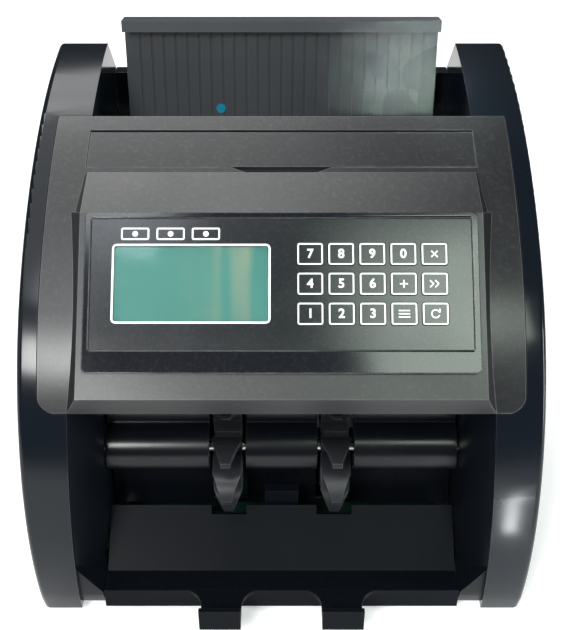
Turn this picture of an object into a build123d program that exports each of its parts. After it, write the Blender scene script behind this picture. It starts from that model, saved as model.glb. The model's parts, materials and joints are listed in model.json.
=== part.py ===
from build123d import *
from math import atan, atan2, cos, degrees, hypot, radians, sin, sqrt, tan
import os

# Banknote counting machine. Millimetres. X runs across the machine, Y from the front (-Y) to the
# back, Z up. The origin is the middle of the footprint, on the surface that the feet stand on.
# Side-view stations are given as (b, h): b behind the front datum plane, h above that surface.

# ---- overall sizes -------------------------------------------------------------------------
case_width = 265.0        # outer faces of the two side covers
case_depth = 244.0        # front datum plane to the rear face
horn_height = 248.5       # top of the side covers' rear horns
hook_reach = 26.0         # tongue hooks in front of the datum plane
foot_height = 4.0

# ---- case outline, seen from the side ------------------------------------------------------
nose_radius = 180.0       # front arc of the case
nose_bulge = 7.3          # how far that arc passes in front of the datum plane
nose_height = 45.0        # height of the arc's centre
shoulder_angle = 130.0    # where the front arc passes into the top arc
toe_height = 15.0
toe_setback = 3.3
horn_setback = 27.5       # top of the horn to the rear face
horn_drop = 29.5          # fall of the slanted rear edge
cover_wall = 2.5
edge_radius = 3.4         # round of the outer edges
seam = 0.3                # gap between neighbouring covers

# ---- how the width is shared out -----------------------------------------------------------
horn_width = 29.0         # side cover beside the hopper
rim_width = 10.5          # side cover beside the top cover
flank_corner = 10.0       # rounded lower corner of the top cover's flank
frame_clearance = 1.0     # hopper side wall to frame plate
frame_thick = 2.0
lane_gap = 2.0            # frame plate to pulleys, and pulleys to side cover

# ---- stations from the front ---------------------------------------------------------------
mouth_height = 131.5      # top edge of the stacker pocket
lip_b = 145.6             # rear edge of the top cover, where the hopper starts
lid_front_b = 112.0
lid_rear_b = 135.5
lid_pin_radius = 1.2
lid_hinge_depth = 2.2     # hinge line below the lid's face
lid_overhang = 1.0        # lid behind its hinge line
scoop_half = 26.0         # finger scoop in the top cover, before the lid's front edge
scoop_depth = 6.0
scoop_fall = 12.0
pocket_step = 5.5         # stacker pocket's walls inside the hopper's side walls
pocket_flare_b = 38.0     # where the pocket walls start to curve outwards
mouth_flare = 3.5         # widening of the pocket's mouth at the case's top and middle
mouth_foot_flare = 7.5    # the same at the foot
sill_height = 18.5        # foot of the pocket walls, at the tray
sill_rise = 28.0          # rise of its slope towards the mouth
liner_thick = 2.5

# ---- control panel -------------------------------------------------------------------------
panel_foot_angle = 148.5  # foot of the panel, seen from the front arc's centre
panel_foot_rise = 10.6    # its distance outside that arc
panel_head_b = 74.6
panel_head_rise = 16.0    # head of the panel above the top arc
panel_half = 101.0        # half width of the panel face
panel_draft = 27.0        # draft of the raised console's sides, in degrees
hump_end_b = 103.7
hump_end_rise = 5.6
console_depth = 16.0
bezel_half = 98.0
bezel_foot = 12.6         # bezel's lower edge above the panel's foot
bezel_rise = 2.4
bezel_border = 3.4
bezel_band = 11.6         # broad lower border
bezel_corner = 3.0
overlay_thick = 1.5
fit_gap = 0.2             # trim pieces let into their recesses
ledge = 6.0               # case ledge that carries the overlay
window_left = -83.0
window_right = -6.5
window_foot = 38.5
window_head = 76.3
window_thick = 1.0
window_corner = 2.0
key_width = 13.0
key_height = 11.3
key_pitch_x = 15.4
key_pitch_y = 15.0
key_first_x = 14.2        # middle of the first column
key_top_row = 72.2        # middle of the top row above the panel's foot
key_proud = 0.5           # key face above the overlay
key_gap = 0.3
key_flange = 0.7          # retaining flange around a key, under the overlay
key_travel = 0.6
key_corner = 1.3
flange_thick = 1.0
flange_drop = 0.5         # clearance between overlay and flange
board_depth = 9.5         # circuit board below the panel plane
board_thick = 1.6
switch_rise = 3.4

# ---- shafts and rollers --------------------------------------------------------------------
shaft_radius = 4.0
running_gap = 0.05        # radial clearance of a shaft in its bush
bush_wall = 2.5
bush_length = 5.0
stacker_axis = (60.0, 70.0)
wheel_radius = 38.0
wheel_x = 30.0
wheel_width = 16.0
wheel_hub_radius = 9.0
wheel_blades = 9
blade_thick = 1.6
wheel_slot = 2.0          # side clearance of the wheels in their slots
guard_radius = 17.0       # round guard in front of the stacker shaft
guard_end = 190.0         # lower edge of the guard, seen from the shaft
guide_thick = 2.0
apron_foot = 26.0         # lower edge of the wall below the guard
transport_axis = (112.0, 88.0)
transport_radius = 15.0
transport_x = 62.0
transport_width = 20.0
pinch_angle = 147.9       # pinch roller, seen from the transport shaft
pinch_radius = 9.0
nip_gap = 0.4
feed_axis = (146.0, 132.0)
feed_radius = 24.0
feed_x = 28.0
feed_width = 22.0
retard_angle = 118.6      # retard roller, seen from the feed shaft
retard_radius = 12.0
pick_b = 175.5            # where the pick rollers meet the hopper floor
pick_radius = 18.5
pick_proud = 1.0
pick_width = 16.0
roller_gap = 3.0          # between feed and pick rollers, across the machine
belt_thick = 1.2
belt_gap = 0.3
rod_radius = 3.0
tie_points = ((75.0, 121.0), (160.0, 95.0), (152.0, 56.0))

# ---- hopper --------------------------------------------------------------------------------
floor_start = (160.0, 160.0)
floor_slope = 0.4
floor_thick = 2.0
side_foot = 157.0         # lower edge of the hopper's side walls
rear_wall_setback = 15.0  # hopper rear wall to the rear face
rear_top = 225.5
plate_setback = 37.5      # support plate's hinge to the rear face
plate_rise = 5.5          # hinge above the hopper floor
plate_lean = 8.5          # degrees
plate_half = 93.0
plate_thick = 2.4
plate_over_horn = 15.0    # top of the plate above the horns
plate_lip = 11.0
plate_lip_face = 6.5
rib_pitch = 7.0
rib_groove = 2.0
groove_depth = 0.8
hinge_radius = 4.0
pin_radius = 2.0
plate_lens_x = -37.0
plate_lens_radius = 2.8
plate_lens_up = 26.0      # lens above the plate's hinge

# ---- stacker tray --------------------------------------------------------------------------
tray_points = ((-2.0, 19.0), (13.8, 17.0), (42.0, 40.0))
tray_thick = 2.5
tongue_x = 32.6
tongue_root_half = 18.5
tongue_half = 11.0
tongue_blend = 12.0
hook_rise = 12.0

# ---- note path plates and sensors ----------------------------------------------------------
upper_guide = ((112.0, 150.0), (114.0, 150.0), (106.5, 114.0), (104.5, 114.0))
lower_guide = ((118.0, 111.5), (119.5, 112.8), (134.0, 98.5), (132.5, 97.0))
tray_eye_half = 9.5
tray_eye_thick = 5.5
tray_eye_rise = 9.0       # tray sensor above the tray's rear edge
path_eye_x = 80.0
path_eye_half = 5.0
path_eye_front = (97.5, 104.2, 118.0, 128.0)   # b and h limits of the sensor before the note path
path_eye_rear = (128.0, 136.0, 105.0, 112.0)   # and of the one behind it

# ---- separator adjustment ------------------------------------------------------------------
knob_b = 122.0
knob_radius = 7.0
knob_height = 7.0
knob_screw_radius = 2.0
knob_flutes = 12
flute_radius = 0.9
bracket_thick = 2.0
bracket_front = 8.0       # cross plate in front of the knob's axis
bracket_rear = 10.0
bracket_skirt = 5.0

# ---- drive and electrics -------------------------------------------------------------------
motor_setback = 44.0
motor_height = 60.0
motor_radius = 28.0
motor_length = 58.0
motor_shaft_radius = 3.0
motor_hub_wall = 3.0
motor_pulley_radius = 8.0
transport_pulleys = (16.0, 12.0, 10.0)
feed_pulleys = (13.0, 26.0)
pick_pulley = 10.0
stacker_pulley = 30.0
pan_thick = 2.0
vent_width = 3.0
vent_pitch = 8.0
vent_count = 7
foot_radius = 8.0
foot_inset = 22.0
screw_radius = 1.5
screw_gap = 0.1
screw_head_radius = 3.2
screw_head = 1.6
screw_inset = 16.0        # base screws inside the feet, along the machine
boss_half = 6.0
boss_height = 12.0
rod_thread = 6.0
frame_front_b = 46.0
frame_inset = 8.0         # frame plates inside the case outline
frame_flange = 8.0
frame_over_floor = 20.0   # frame plates above the hopper floor's rear edge
vent_left = 10.0
vent_span = 70.0
vent_low = 80.0
pan_vent_x = 40.0
pan_vent_span = 45.0
pan_vent_b = 70.0
pan_front = 3.0
inlet_left = -88.0
inlet_right = -34.0
inlet_low = 18.0
inlet_high = 42.0
inlet_deep = 22.0
inlet_wall = 2.0
socket_width = 30.0
contact_pitch = 7.0
contact_half = 1.0
contact_half_height = 2.0
rocker_gap = 3.0          # socket to rocker
rocker_rim = 4.0
rocker_side_gap = 0.4
rocker_radius = 8.0
rocker_setback = 10.0
rocker_valley = 5.0       # valley of the rocker's face behind its axis
rocker_crest = 6.5
rocker_pin = 1.0
supply_left = -95.0
supply_width = 103.0
supply_setback = 26.0
supply_depth = 70.0
supply_height = 38.0
main_board_half = 92.0
main_board_front = 50.0
main_board_rear = 140.0
spacer_radius = 3.0
spacer_height = 5.0
spacer_inset = 6.0
key_names = (
    ("7", "8", "9", "0", "clear"),
    ("4", "5", "6", "add", "speed"),
    ("1", "2", "3", "batch", "reset"),
)

# ---- worked-out places ---------------------------------------------------------------------
half_case = case_width / 2
hopper_half = half_case - horn_width
pocket_half = hopper_half - pocket_step
flank_half = half_case - rim_width
frame_in = hopper_half + cover_wall + frame_clearance
frame_out = frame_in + frame_thick
lane_width = (half_case - cover_wall - frame_out - 4 * lane_gap) / 3
lane_starts = [frame_out + lane_gap + lane * (lane_width + lane_gap) for lane in range(3)]
pan_top = foot_height + pan_thick
middle_b = (case_depth - hook_reach) / 2
far = 400.0               # longer than anything that a cut has to clear


def polar(centre, radius, angle):
    """The point at an angle, in degrees, from the +b direction round a centre."""
    return (centre[0] + radius * cos(radians(angle)), centre[1] + radius * sin(radians(angle)))


def top_arc():
    """Centre and radius of the top arc: tangent to the front arc, passing through the horn's top."""
    horn = (case_depth - horn_setback, horn_height)
    across = (shoulder[0] - horn[0], shoulder[1] - horn[1])
    inward = (-cos(radians(shoulder_angle)), -sin(radians(shoulder_angle)))
    radius = -(across[0] ** 2 + across[1] ** 2) / (2 * (inward[0] * across[0] + inward[1] * across[1]))
    return polar(shoulder, radius, shoulder_angle + 180), radius


nose_centre = (nose_radius - nose_bulge, nose_height)
shoulder = polar(nose_centre, nose_radius, shoulder_angle)
top_centre, top_radius = top_arc()
pinch_axis = polar(transport_axis, transport_radius + pinch_radius + nip_gap, pinch_angle)
retard_axis = polar(feed_axis, feed_radius + retard_radius + nip_gap, retard_angle)
motor_axis = (case_depth - motor_setback, motor_height)
rocker_axis = (case_depth - rocker_setback, (inlet_low + inlet_high) / 2)
socket_right = inlet_left + socket_width
rocker_left = socket_right + rocker_gap
rocker_right = inlet_right - rocker_rim
bracket_h = retard_axis[1] + retard_radius + 6.0
screw_stations = (foot_inset + screw_inset, case_depth - foot_inset - screw_inset)
screw_x = half_case - cover_wall - boss_half
rear_wall_b = case_depth - rear_wall_setback
rear_b = case_depth - cover_wall


def surface(b, inset=0.0):
    """Height of the case's top surface, or of a surface below it, at a station."""
    centre, radius = (nose_centre, nose_radius) if b < shoulder[0] else (top_centre, top_radius)
    return centre[1] + sqrt((radius - inset) ** 2 - (b - centre[0]) ** 2)


def floor_height(b):
    """Height of the hopper floor's upper face."""
    return floor_start[1] + floor_slope * (b - floor_start[0])


floor_angle = degrees(atan(floor_slope))
pick_axis = polar((pick_b, floor_height(pick_b)), pick_radius - pick_proud, floor_angle - 90)
pick_x = feed_x + feed_width / 2 + roller_gap + pick_width / 2
pocket_back_b = stacker_axis[0] - shaft_radius - 2.0
shaft_axes = (stacker_axis, transport_axis, feed_axis, pick_axis)
plate_hinge = (case_depth - plate_setback, floor_height(case_depth - plate_setback) + plate_rise)
lid_hinge_b = lid_rear_b - hypot(lid_overhang, lid_hinge_depth) - seam
lid_hinge = (lid_hinge_b, surface(lid_hinge_b) - lid_hinge_depth)
panel_foot = polar(nose_centre, nose_radius + panel_foot_rise, panel_foot_angle)
panel_head = (panel_head_b, surface(panel_head_b) + panel_head_rise)
hump_end = (hump_end_b, surface(hump_end_b) + hump_end_rise)


def at(station):
    """A side-view station as (y, z)."""
    return (station[0] - middle_b, station[1])


# ---- shape helpers -------------------------------------------------------------------------
def side_shape(*stations):
    """A side-view polygon."""
    return make_face(Polyline(*[at(station) for station in stations], close=True))


def prism(shape, x_low, x_high):
    """A side-view shape carried across the machine."""
    return extrude(Plane.YZ.offset(x_low) * shape, x_high - x_low, dir=(1, 0, 0))


def block(x_low, x_high, b_low, b_high, h_low, h_high):
    """A box between two limits each way."""
    middle = ((x_low + x_high) / 2, (b_low + b_high) / 2 - middle_b, (h_low + h_high) / 2)
    return Pos(*middle) * Box(x_high - x_low, b_high - b_low, h_high - h_low)


def rod(x_low, x_high, axis, radius):
    """A cylinder across the machine."""
    middle = ((x_low + x_high) / 2, *at(axis))
    return Pos(*middle) * Cylinder(radius, x_high - x_low, rotation=(0, 90, 0))


def post(x, b, h_low, h_high, radius):
    """An upright cylinder."""
    return Pos(x, b - middle_b, (h_low + h_high) / 2) * Cylinder(radius, h_high - h_low)


def both(piece):
    """A piece and its mirror image on the other side."""
    return [piece, mirror(piece, about=Plane.YZ)]


def case_outline(inset):
    """The case seen from the side, or the same outline a wall further in."""
    nose = nose_radius - inset
    top = top_radius - inset
    toe_b = nose_centre[0] - sqrt(nose ** 2 - (toe_height - nose_height) ** 2)
    toe = at((toe_b, toe_height))
    shoulder_in = at(polar(nose_centre, nose, shoulder_angle))
    mid_nose = at(polar(nose_centre, nose, (180 + shoulder_angle) / 2))
    fall = (horn_setback, -horn_drop)
    fall_length = hypot(*fall)
    start = (
        case_depth - horn_setback - inset * horn_drop / fall_length,
        horn_height - inset * horn_setback / fall_length,
    )
    along = (fall[0] / fall_length, fall[1] / fall_length)
    out = (start[0] - top_centre[0], start[1] - top_centre[1])
    lead = out[0] * along[0] + out[1] * along[1]
    step = -lead - sqrt(lead ** 2 - (hypot(*out) ** 2 - top ** 2))
    if abs(-lead + sqrt(lead ** 2 - (hypot(*out) ** 2 - top ** 2))) < abs(step):
        step = -lead + sqrt(lead ** 2 - (hypot(*out) ** 2 - top ** 2))
    horn = (start[0] + step * along[0], start[1] + step * along[1])
    horn_angle = degrees(atan2(horn[1] - top_centre[1], horn[0] - top_centre[0]))
    mid_top = at(polar(top_centre, top, (shoulder_angle + horn_angle) / 2))
    back_b = case_depth - inset
    back_top = (back_b, start[1] + along[1] / along[0] * (back_b - start[0]))
    foot = foot_height + inset
    edges = [
        ThreePointArc(toe, mid_nose, shoulder_in),
        ThreePointArc(shoulder_in, mid_top, at(horn)),
        Line(at(horn), at(back_top)),
        Line(at(back_top), at((back_b, foot))),
        Line(at((back_b, foot)), at((toe_b + toe_setback, foot))),
        Line(at((toe_b + toe_setback, foot)), toe),
    ]
    return make_face(edges)


def frustum(plane, half, foot, head, depth, foot_run, head_run):
    """A raised block below a plane: its sides slope outwards, its ends by their own runs per depth."""
    spread = depth * tan(radians(panel_draft))
    outlines = (
        (0.0, half, foot, head),
        (depth, half + spread, foot - depth * foot_run, head + depth * head_run),
    )
    faces = []
    for level, reach, low, high in outlines:
        outline = Pos(0, (low + high) / 2) * Rectangle(2 * reach, high - low)
        faces.append((plane.offset(-level) * outline).face())
    return loft(faces, ruled=True)


def slope_plane(low, high):
    """The plane through two stations, with its y axis going up the slope."""
    run = high[0] - low[0]
    rise = high[1] - low[1]
    return Plane(origin=(0, *at(low)), x_dir=(1, 0, 0), z_dir=(0, -rise, run))


def slope_angle(low, high):
    """The slope from one station to another, in degrees."""
    return degrees(atan2(high[1] - low[1], high[0] - low[0]))


panel_plane = slope_plane(panel_foot, panel_head)
panel_length = hypot(panel_head[0] - panel_foot[0], panel_head[1] - panel_foot[1])
hump_plane = slope_plane(panel_head, hump_end)
hump_length = hypot(hump_end[0] - panel_head[0], hump_end[1] - panel_head[1])
draft_run = tan(radians(panel_draft))
mitre_angle = (slope_angle(panel_foot, panel_head) - slope_angle(panel_head, hump_end)) / 2
mitre_run = tan(radians(mitre_angle))
bezel_head = panel_length
overlay_half = bezel_half - bezel_border
overlay_foot = bezel_foot + bezel_band
overlay_head = bezel_head - bezel_border


def panel_block(left, right, foot, head, low, high, corner=0.0):
    """A plate parallel to the panel, between two levels above the panel plane."""
    if corner:
        outline = RectangleRounded(right - left, head - foot, corner)
    else:
        outline = Rectangle(right - left, head - foot)
    placed = Pos((left + right) / 2, (foot + head) / 2) * outline
    return extrude(panel_plane.offset(low) * placed, high - low)


def key_places():
    """Column, row and middle of each key."""
    places = []
    for row in range(3):
        for column in range(5):
            middle = (key_first_x + column * key_pitch_x, key_top_row - row * key_pitch_y)
            places.append((column, row, middle))
    return places


def corner_fill(lower_b):
    """What a rounded lower outer corner leaves out of the top cover's flank."""
    angle = degrees(atan2(mouth_height - nose_centre[1], lower_b - nose_centre[0]))
    outward = (0, cos(radians(angle)), sin(radians(angle)))
    origin = (flank_half, *at(polar(nose_centre, nose_radius, angle)))
    plane = Plane(origin=origin, x_dir=(1, 0, 0), z_dir=outward)
    square = Pos(-flank_corner / 2, flank_corner / 2) * Rectangle(flank_corner, flank_corner)
    disc = Pos(-flank_corner, flank_corner) * Circle(flank_corner)
    return extrude(plane.offset(-flank_corner) * (square - disc), 2 * flank_corner)


# ---- covers --------------------------------------------------------------------------------
mouth_b = nose_centre[0] - sqrt(nose_radius ** 2 - (mouth_height - nose_centre[1]) ** 2)


def mouth_cut():
    """The opening of the stacker pocket, seen from the front, on the right side."""
    top_x = hopper_half + mouth_flare
    foot_x = hopper_half + mouth_foot_flare
    inner_x = hopper_half - 5.0
    outline = make_face(
        [
            Line((inner_x, -5.0), (foot_x, -5.0)),
            Line((foot_x, -5.0), (foot_x, foot_height)),
            ThreePointArc(
                (foot_x, foot_height),
                ((top_x + foot_x) / 2 - 0.8, (mouth_height + foot_height) / 2 + 12.0),
                (top_x, mouth_height + 1.0),
            ),
            Line((top_x, mouth_height + 1.0), (inner_x, mouth_height + 1.0)),
            Line((inner_x, mouth_height + 1.0), (inner_x, -5.0)),
        ]
    )
    upright = Pos(0, -hook_reach - middle_b, 0) * (Rot(90, 0, 0) * outline)
    return extrude(upright, hook_reach + pocket_back_b, dir=(0, 1, 0))


def side_cover():
    """The right-hand cover: a shell with the hopper's side wall and a boss for each base screw."""
    body = prism(case_outline(0), hopper_half, half_case)
    body = fillet(body.faces().sort_by(Axis.X)[-1].edges(), edge_radius)
    inner_x = hopper_half + cover_wall
    body -= prism(case_outline(cover_wall), inner_x, half_case - cover_wall)
    body -= block(hopper_half - 1, inner_x, -far, rear_b, -1, side_foot)
    body -= block(hopper_half - 1, half_case - cover_wall, pan_front, rear_b, -1, pan_top + 1)
    flank = block(hopper_half - 1, flank_half, -far, lip_b, mouth_height, far)
    body -= flank - corner_fill(mouth_b)
    body -= mouth_cut()
    for b in screw_stations:
        boss = block(screw_x - boss_half, half_case - 1, b - boss_half, b + boss_half, pan_top, pan_top + boss_height)
        body += boss - post(screw_x, b, 0, pan_top + boss_height - 2, screw_radius)
    return body


def top_cover():
    """The curved cover over the note path: its raised console, its hump and the hopper's front wall."""
    width = flank_half - seam
    band = prism(case_outline(0), -width, width) - prism(case_outline(cover_wall), -far, far)
    band &= block(-far, far, -far, lip_b - seam, mouth_height + seam, far)
    for fill in both(corner_fill(mouth_b)):
        band -= fill
    console = frustum(panel_plane, panel_half, 0, panel_length, console_depth, draft_run, mitre_run)
    hump = frustum(hump_plane, panel_half, 0, hump_length, console_depth, -mitre_run, draft_run)
    wall_half = panel_half - cover_wall
    console_in = frustum(
        panel_plane.offset(-cover_wall),
        wall_half,
        cover_wall,
        panel_length + cover_wall * mitre_run,
        2 * console_depth,
        draft_run,
        mitre_run,
    )
    hump_in = frustum(
        hump_plane.offset(-cover_wall),
        wall_half,
        cover_wall * mitre_run,
        hump_length - cover_wall,
        console_depth,
        -mitre_run,
        draft_run,
    )
    outside = prism(case_outline(-far / 10), -far, far) - prism(case_outline(cover_wall), -far, far)
    body = band + (console & outside) + (hump & outside)
    inside = (console_in + hump_in) & block(-far, far, -far, lid_front_b - 4, mouth_height + cover_wall, far)
    body -= inside
    body &= block(-far, far, -far, far, mouth_height + seam, far)
    body -= panel_block(
        -overlay_half + ledge, overlay_half - ledge, overlay_foot + ledge, overlay_head - ledge, -far / 40, 3.0
    )
    lid_half = hopper_half - seam
    body -= block(-lid_half, lid_half, lid_front_b, lid_rear_b, surface(lid_front_b, 6.0), far)
    scoop_radius = (scoop_half ** 2 + scoop_depth ** 2) / (2 * scoop_depth)
    scoop_h = surface(lid_front_b)
    scoop = post(0, lid_front_b - scoop_depth + scoop_radius, scoop_h - scoop_fall, far, scoop_radius)
    body -= scoop & block(-scoop_half, scoop_half, 0, lid_front_b + 1.0, 0, far)
    front_wall = side_shape(
        (lip_b - seam, surface(lip_b) - 0.6),
        (lip_b + 4.4, retard_axis[1] + 11.0),
        (lip_b + 1.9, retard_axis[1] + 11.0),
        (lip_b - seam - cover_wall, surface(lip_b) - 1.5),
    )
    body += prism(front_wall, -lid_half, lid_half)
    ear = side_shape(
        (lid_hinge[0] - 4.0, surface(lid_hinge[0] - 4.0, 1.0)),
        (lid_hinge[0] - 4.0, lid_hinge[1] - 4.0),
        (lid_hinge[0] + 4.0, lid_hinge[1] - 4.0),
        (lid_hinge[0] + 4.0, surface(lid_hinge[0] + 4.0, 1.0)),
    )
    ear_solid = prism(ear, lid_half, lid_half + cover_wall) - rod(0, far, lid_hinge, lid_pin_radius + running_gap)
    for piece in both(ear_solid):
        body += piece
    for hole in both(rod(lid_half - 1, lid_half + cover_wall + seam, lid_hinge, lid_pin_radius + running_gap)):
        body -= hole
    return body


def access_lid():
    """The lid over the note path, with a stub pin at each end."""
    half = hopper_half - 2 * seam
    front = lid_front_b + seam
    rear = lid_hinge[0] + lid_overhang
    band = prism(case_outline(0), -half, half) - prism(case_outline(cover_wall), -far, far)
    band &= block(-far, far, front, rear, mouth_height, far)
    for piece in both(rod(half - 8.0, half + cover_wall, lid_hinge, lid_pin_radius)):
        band += piece
    return band


def rear_cover():
    """The back of the machine and the hopper's rear wall, with vents and the inlet's cut-out."""
    half = hopper_half - seam
    section = side_shape(
        (case_depth, pan_top + seam),
        (case_depth, horn_height - horn_drop),
        (case_depth - 5.5, rear_top),
        (rear_wall_b, rear_top),
        (rear_wall_b, floor_height(rear_wall_b) + seam),
        (rear_wall_b + cover_wall, floor_height(rear_wall_b) + seam),
        (rear_wall_b + cover_wall, rear_top - cover_wall),
        (case_depth - 6.5, rear_top - cover_wall),
        (rear_b, horn_height - horn_drop - 1.0),
        (rear_b, pan_top + seam),
    )
    body = prism(section, -half, half)
    body -= block(inlet_left, inlet_right, rear_b - 1, case_depth + 1, inlet_low, inlet_high)
    for slot in range(vent_count):
        h = vent_low + slot * vent_pitch
        body -= block(vent_left, vent_left + vent_span, rear_b - 1, case_depth + 1, h, h + vent_width)
    return body


def base_pan():
    """The sheet-metal pan that everything stands on."""
    half = half_case - cover_wall - seam
    body = block(-half, half, pan_front + seam, rear_b - seam, foot_height, pan_top)
    for x in (-screw_x, screw_x):
        for b in screw_stations:
            body -= post(x, b, 0, pan_top + 1, screw_radius + screw_gap)
    for slot in range(vent_count):
        b = pan_vent_b + slot * vent_pitch
        body -= block(pan_vent_x, pan_vent_x + pan_vent_span, b, b + vent_width, 0, pan_top + 1)
    return body


def rubber_feet():
    """Four round feet."""
    half = half_case - foot_inset
    feet = []
    for x in (-half, half):
        for b in (foot_inset, case_depth - foot_inset):
            feet.append(post(x, b, 0, foot_height, foot_radius))
    return feet


def cover_screws():
    """Base screws up into the side covers, and the screws that hold the tie rods."""
    screws = []
    for x in (-screw_x, screw_x):
        for b in screw_stations:
            head = post(x, b, foot_height - screw_head, foot_height, screw_head_radius)
            screws.append(head + post(x, b, foot_height - 0.5, pan_top + boss_height - 3, screw_radius))
    for station in tie_points:
        head = rod(frame_out, frame_out + screw_head, station, screw_head_radius)
        screws.extend(both(head + rod(frame_in - rod_thread, frame_out + 0.5, station, screw_radius)))
    return screws


# ---- stacker pocket ------------------------------------------------------------------------
def pocket_wall():
    """The right-hand wall: straight behind, curving outwards along the case's front arc, with a sloped foot."""
    end_x = hopper_half + mouth_foot_flare + 1.0
    centre_y, centre_z = at(nose_centre)
    rim_y = centre_y - nose_radius + cover_wall + seam
    corner = (pocket_half, pocket_flare_b - middle_b)
    back = (pocket_half, pocket_back_b - middle_b)
    front = (end_x, rim_y)
    middle = ((corner[0] * 3 + front[0]) / 4 - 0.6, (corner[1] + front[1]) / 2)
    out = liner_thick
    curve = ThreePointArc(corner, middle, front)
    outline = make_face(
        [
            Line(back, corner),
            curve,
            Line(front, (front[0] + out, front[1])),
            ThreePointArc((front[0] + out, front[1]), (middle[0] + out, middle[1]), (corner[0] + out, corner[1])),
            Line((corner[0] + out, corner[1]), (back[0] + out, back[1])),
            Line((back[0] + out, back[1]), back),
        ]
    )
    flare = make_face([curve, Line(front, (pocket_half, rim_y)), Line((pocket_half, rim_y), corner)])
    wall = arc_sweep(outline, centre_y, centre_z)
    wedge = make_face(
        Polyline(
            (pocket_half, 0),
            (end_x + out, 0),
            (end_x + out, sill_height + sill_rise),
            (pocket_half, sill_height),
            close=True,
        )
    )
    upright = Pos(0, -hook_reach - middle_b, 0) * (Rot(90, 0, 0) * wedge)
    wall += arc_sweep(flare, centre_y, centre_z) & extrude(upright, far, dir=(0, 1, 0))
    room = block(0, far, -far, pocket_back_b, pan_top, mouth_height - seam)
    return wall & room & prism(case_outline(cover_wall + seam), 0, far)


def arc_sweep(face, centre_y, centre_z):
    """A flat shape at the height of the front arc's centre, carried round that centre both ways."""
    axis = Axis((0, centre_y, centre_z), (-1, 0, 0))
    level = Pos(0, 0, centre_z) * face
    return revolve(level.rotate(axis, -40.0), axis, 100.0)


def stacker_tray():
    """The note tray: base front, floor, inclined back, and two hooked tongues."""
    front, valley, top = tray_points
    half = pocket_half - 0.5
    section = side_shape(
        (front[0], pan_top),
        front,
        valley,
        top,
        (top[0] + 1.6, top[1] - 2.0),
        (valley[0] + 0.9, valley[1] - tray_thick),
        (front[0] + tray_thick, front[1] - tray_thick),
        (front[0] + tray_thick, pan_top),
    )
    body = prism(section, -half, half)
    for x in (-tongue_x, tongue_x):
        body += tongue(x, front)
    reach = wheel_width / 2 + wheel_slot
    for x in (-wheel_x, wheel_x):
        body -= rod(x - reach, x + reach, stacker_axis, wheel_radius + wheel_slot)
    return body


def tongue(x, front):
    """One tongue: broad at the tray's edge, narrowed by two hollow curves, turned up at its end."""
    root = front[0] - middle_b
    tip = -hook_reach - middle_b
    neck = root - tongue_blend
    bend = 0.3 * tongue_blend
    half_mid = tongue_half + 0.3 * (tongue_root_half - tongue_half)
    outline = make_face(
        [
            Line((x - tongue_root_half, root + 1.0), (x + tongue_root_half, root + 1.0)),
            Line((x + tongue_root_half, root + 1.0), (x + tongue_root_half, root)),
            ThreePointArc((x + tongue_root_half, root), (x + half_mid, root - bend), (x + tongue_half, neck)),
            Line((x + tongue_half, neck), (x + tongue_half, tip)),
            Line((x + tongue_half, tip), (x - tongue_half, tip)),
            Line((x - tongue_half, tip), (x - tongue_half, neck)),
            ThreePointArc((x - tongue_half, neck), (x - half_mid, root - bend), (x - tongue_root_half, root)),
            Line((x - tongue_root_half, root), (x - tongue_root_half, root + 1.0)),
        ]
    )
    flat = extrude(Pos(0, 0, front[1] - tray_thick) * outline, tray_thick)
    hook = block(
        x - tongue_half,
        x + tongue_half,
        -hook_reach,
        -hook_reach + tray_thick,
        front[1] - tray_thick,
        front[1] + hook_rise,
    )
    return flat + hook


def stacker_guide():
    """The pocket's rear guide: a round guard over the stacker shaft, a wall above it and an apron below."""
    b, h = stacker_axis
    half = pocket_half - seam
    inner = guard_radius - guide_thick
    outer_points = [at(polar(stacker_axis, guard_radius, angle)) for angle in (90, 140, guard_end)]
    inner_points = [at(polar(stacker_axis, inner, angle)) for angle in (guard_end, 140, 90)]
    section = make_face(
        [
            ThreePointArc(*outer_points),
            Line(outer_points[-1], inner_points[0]),
            ThreePointArc(*inner_points),
            Line(inner_points[-1], outer_points[0]),
        ]
    )
    guard = prism(section, -half, half) + block(-half, half, b, b + guide_thick, h + inner, mouth_height - 4.0)
    apron = block(-half, half, b - guide_thick, b, apron_foot, h - shaft_radius - 2.0)
    reach = wheel_width / 2 + wheel_slot
    low = h - wheel_radius - wheel_slot
    for x in (-wheel_x, wheel_x):
        slot = block(x - reach, x + reach, 0, far, low, h + wheel_radius + 3.0)
        guard -= slot
        apron -= slot
    return [guard, apron]


def note_guides():
    """Plates that lead the notes from the feed rollers to the transport rollers."""
    return [prism(side_shape(*stations), -frame_in, frame_in) for stations in (upper_guide, lower_guide)]


def note_sensors():
    """Sensor blocks: one over the tray, two pairs across the note path."""
    b, h = tray_points[2]
    front = b + 2.0
    pieces = [block(-tray_eye_half, tray_eye_half, front, front + tray_eye_thick, h - 4.0, h + tray_eye_rise)]
    for x in (-path_eye_x, path_eye_x):
        for limits in (path_eye_front, path_eye_rear):
            pieces.append(block(x - path_eye_half, x + path_eye_half, *limits))
    return pieces


# ---- frame ---------------------------------------------------------------------------------
def frame_plate():
    """The right-hand frame plate, bored for the shafts and folded outwards at its foot."""
    body = prism(case_outline(frame_inset), frame_in, frame_out)
    body &= block(0, far, frame_front_b, rear_wall_b, pan_top, floor_height(rear_wall_b) + frame_over_floor)
    body += block(frame_in, frame_out, frame_front_b + 4, rear_wall_b, pan_top, pan_top + 10)
    flange_x = frame_in + frame_flange
    body += block(frame_in, flange_x, frame_front_b + 4, rear_wall_b, pan_top, pan_top + frame_thick)
    for axis in shaft_axes:
        body -= rod(0, far, axis, shaft_radius + bush_wall)
    body -= rod(0, far, pinch_axis, rod_radius + bush_wall)
    body -= rod(0, far, motor_axis, motor_shaft_radius + motor_hub_wall)
    for station in tie_points:
        body -= rod(0, far, station, screw_radius)
    return body


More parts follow.
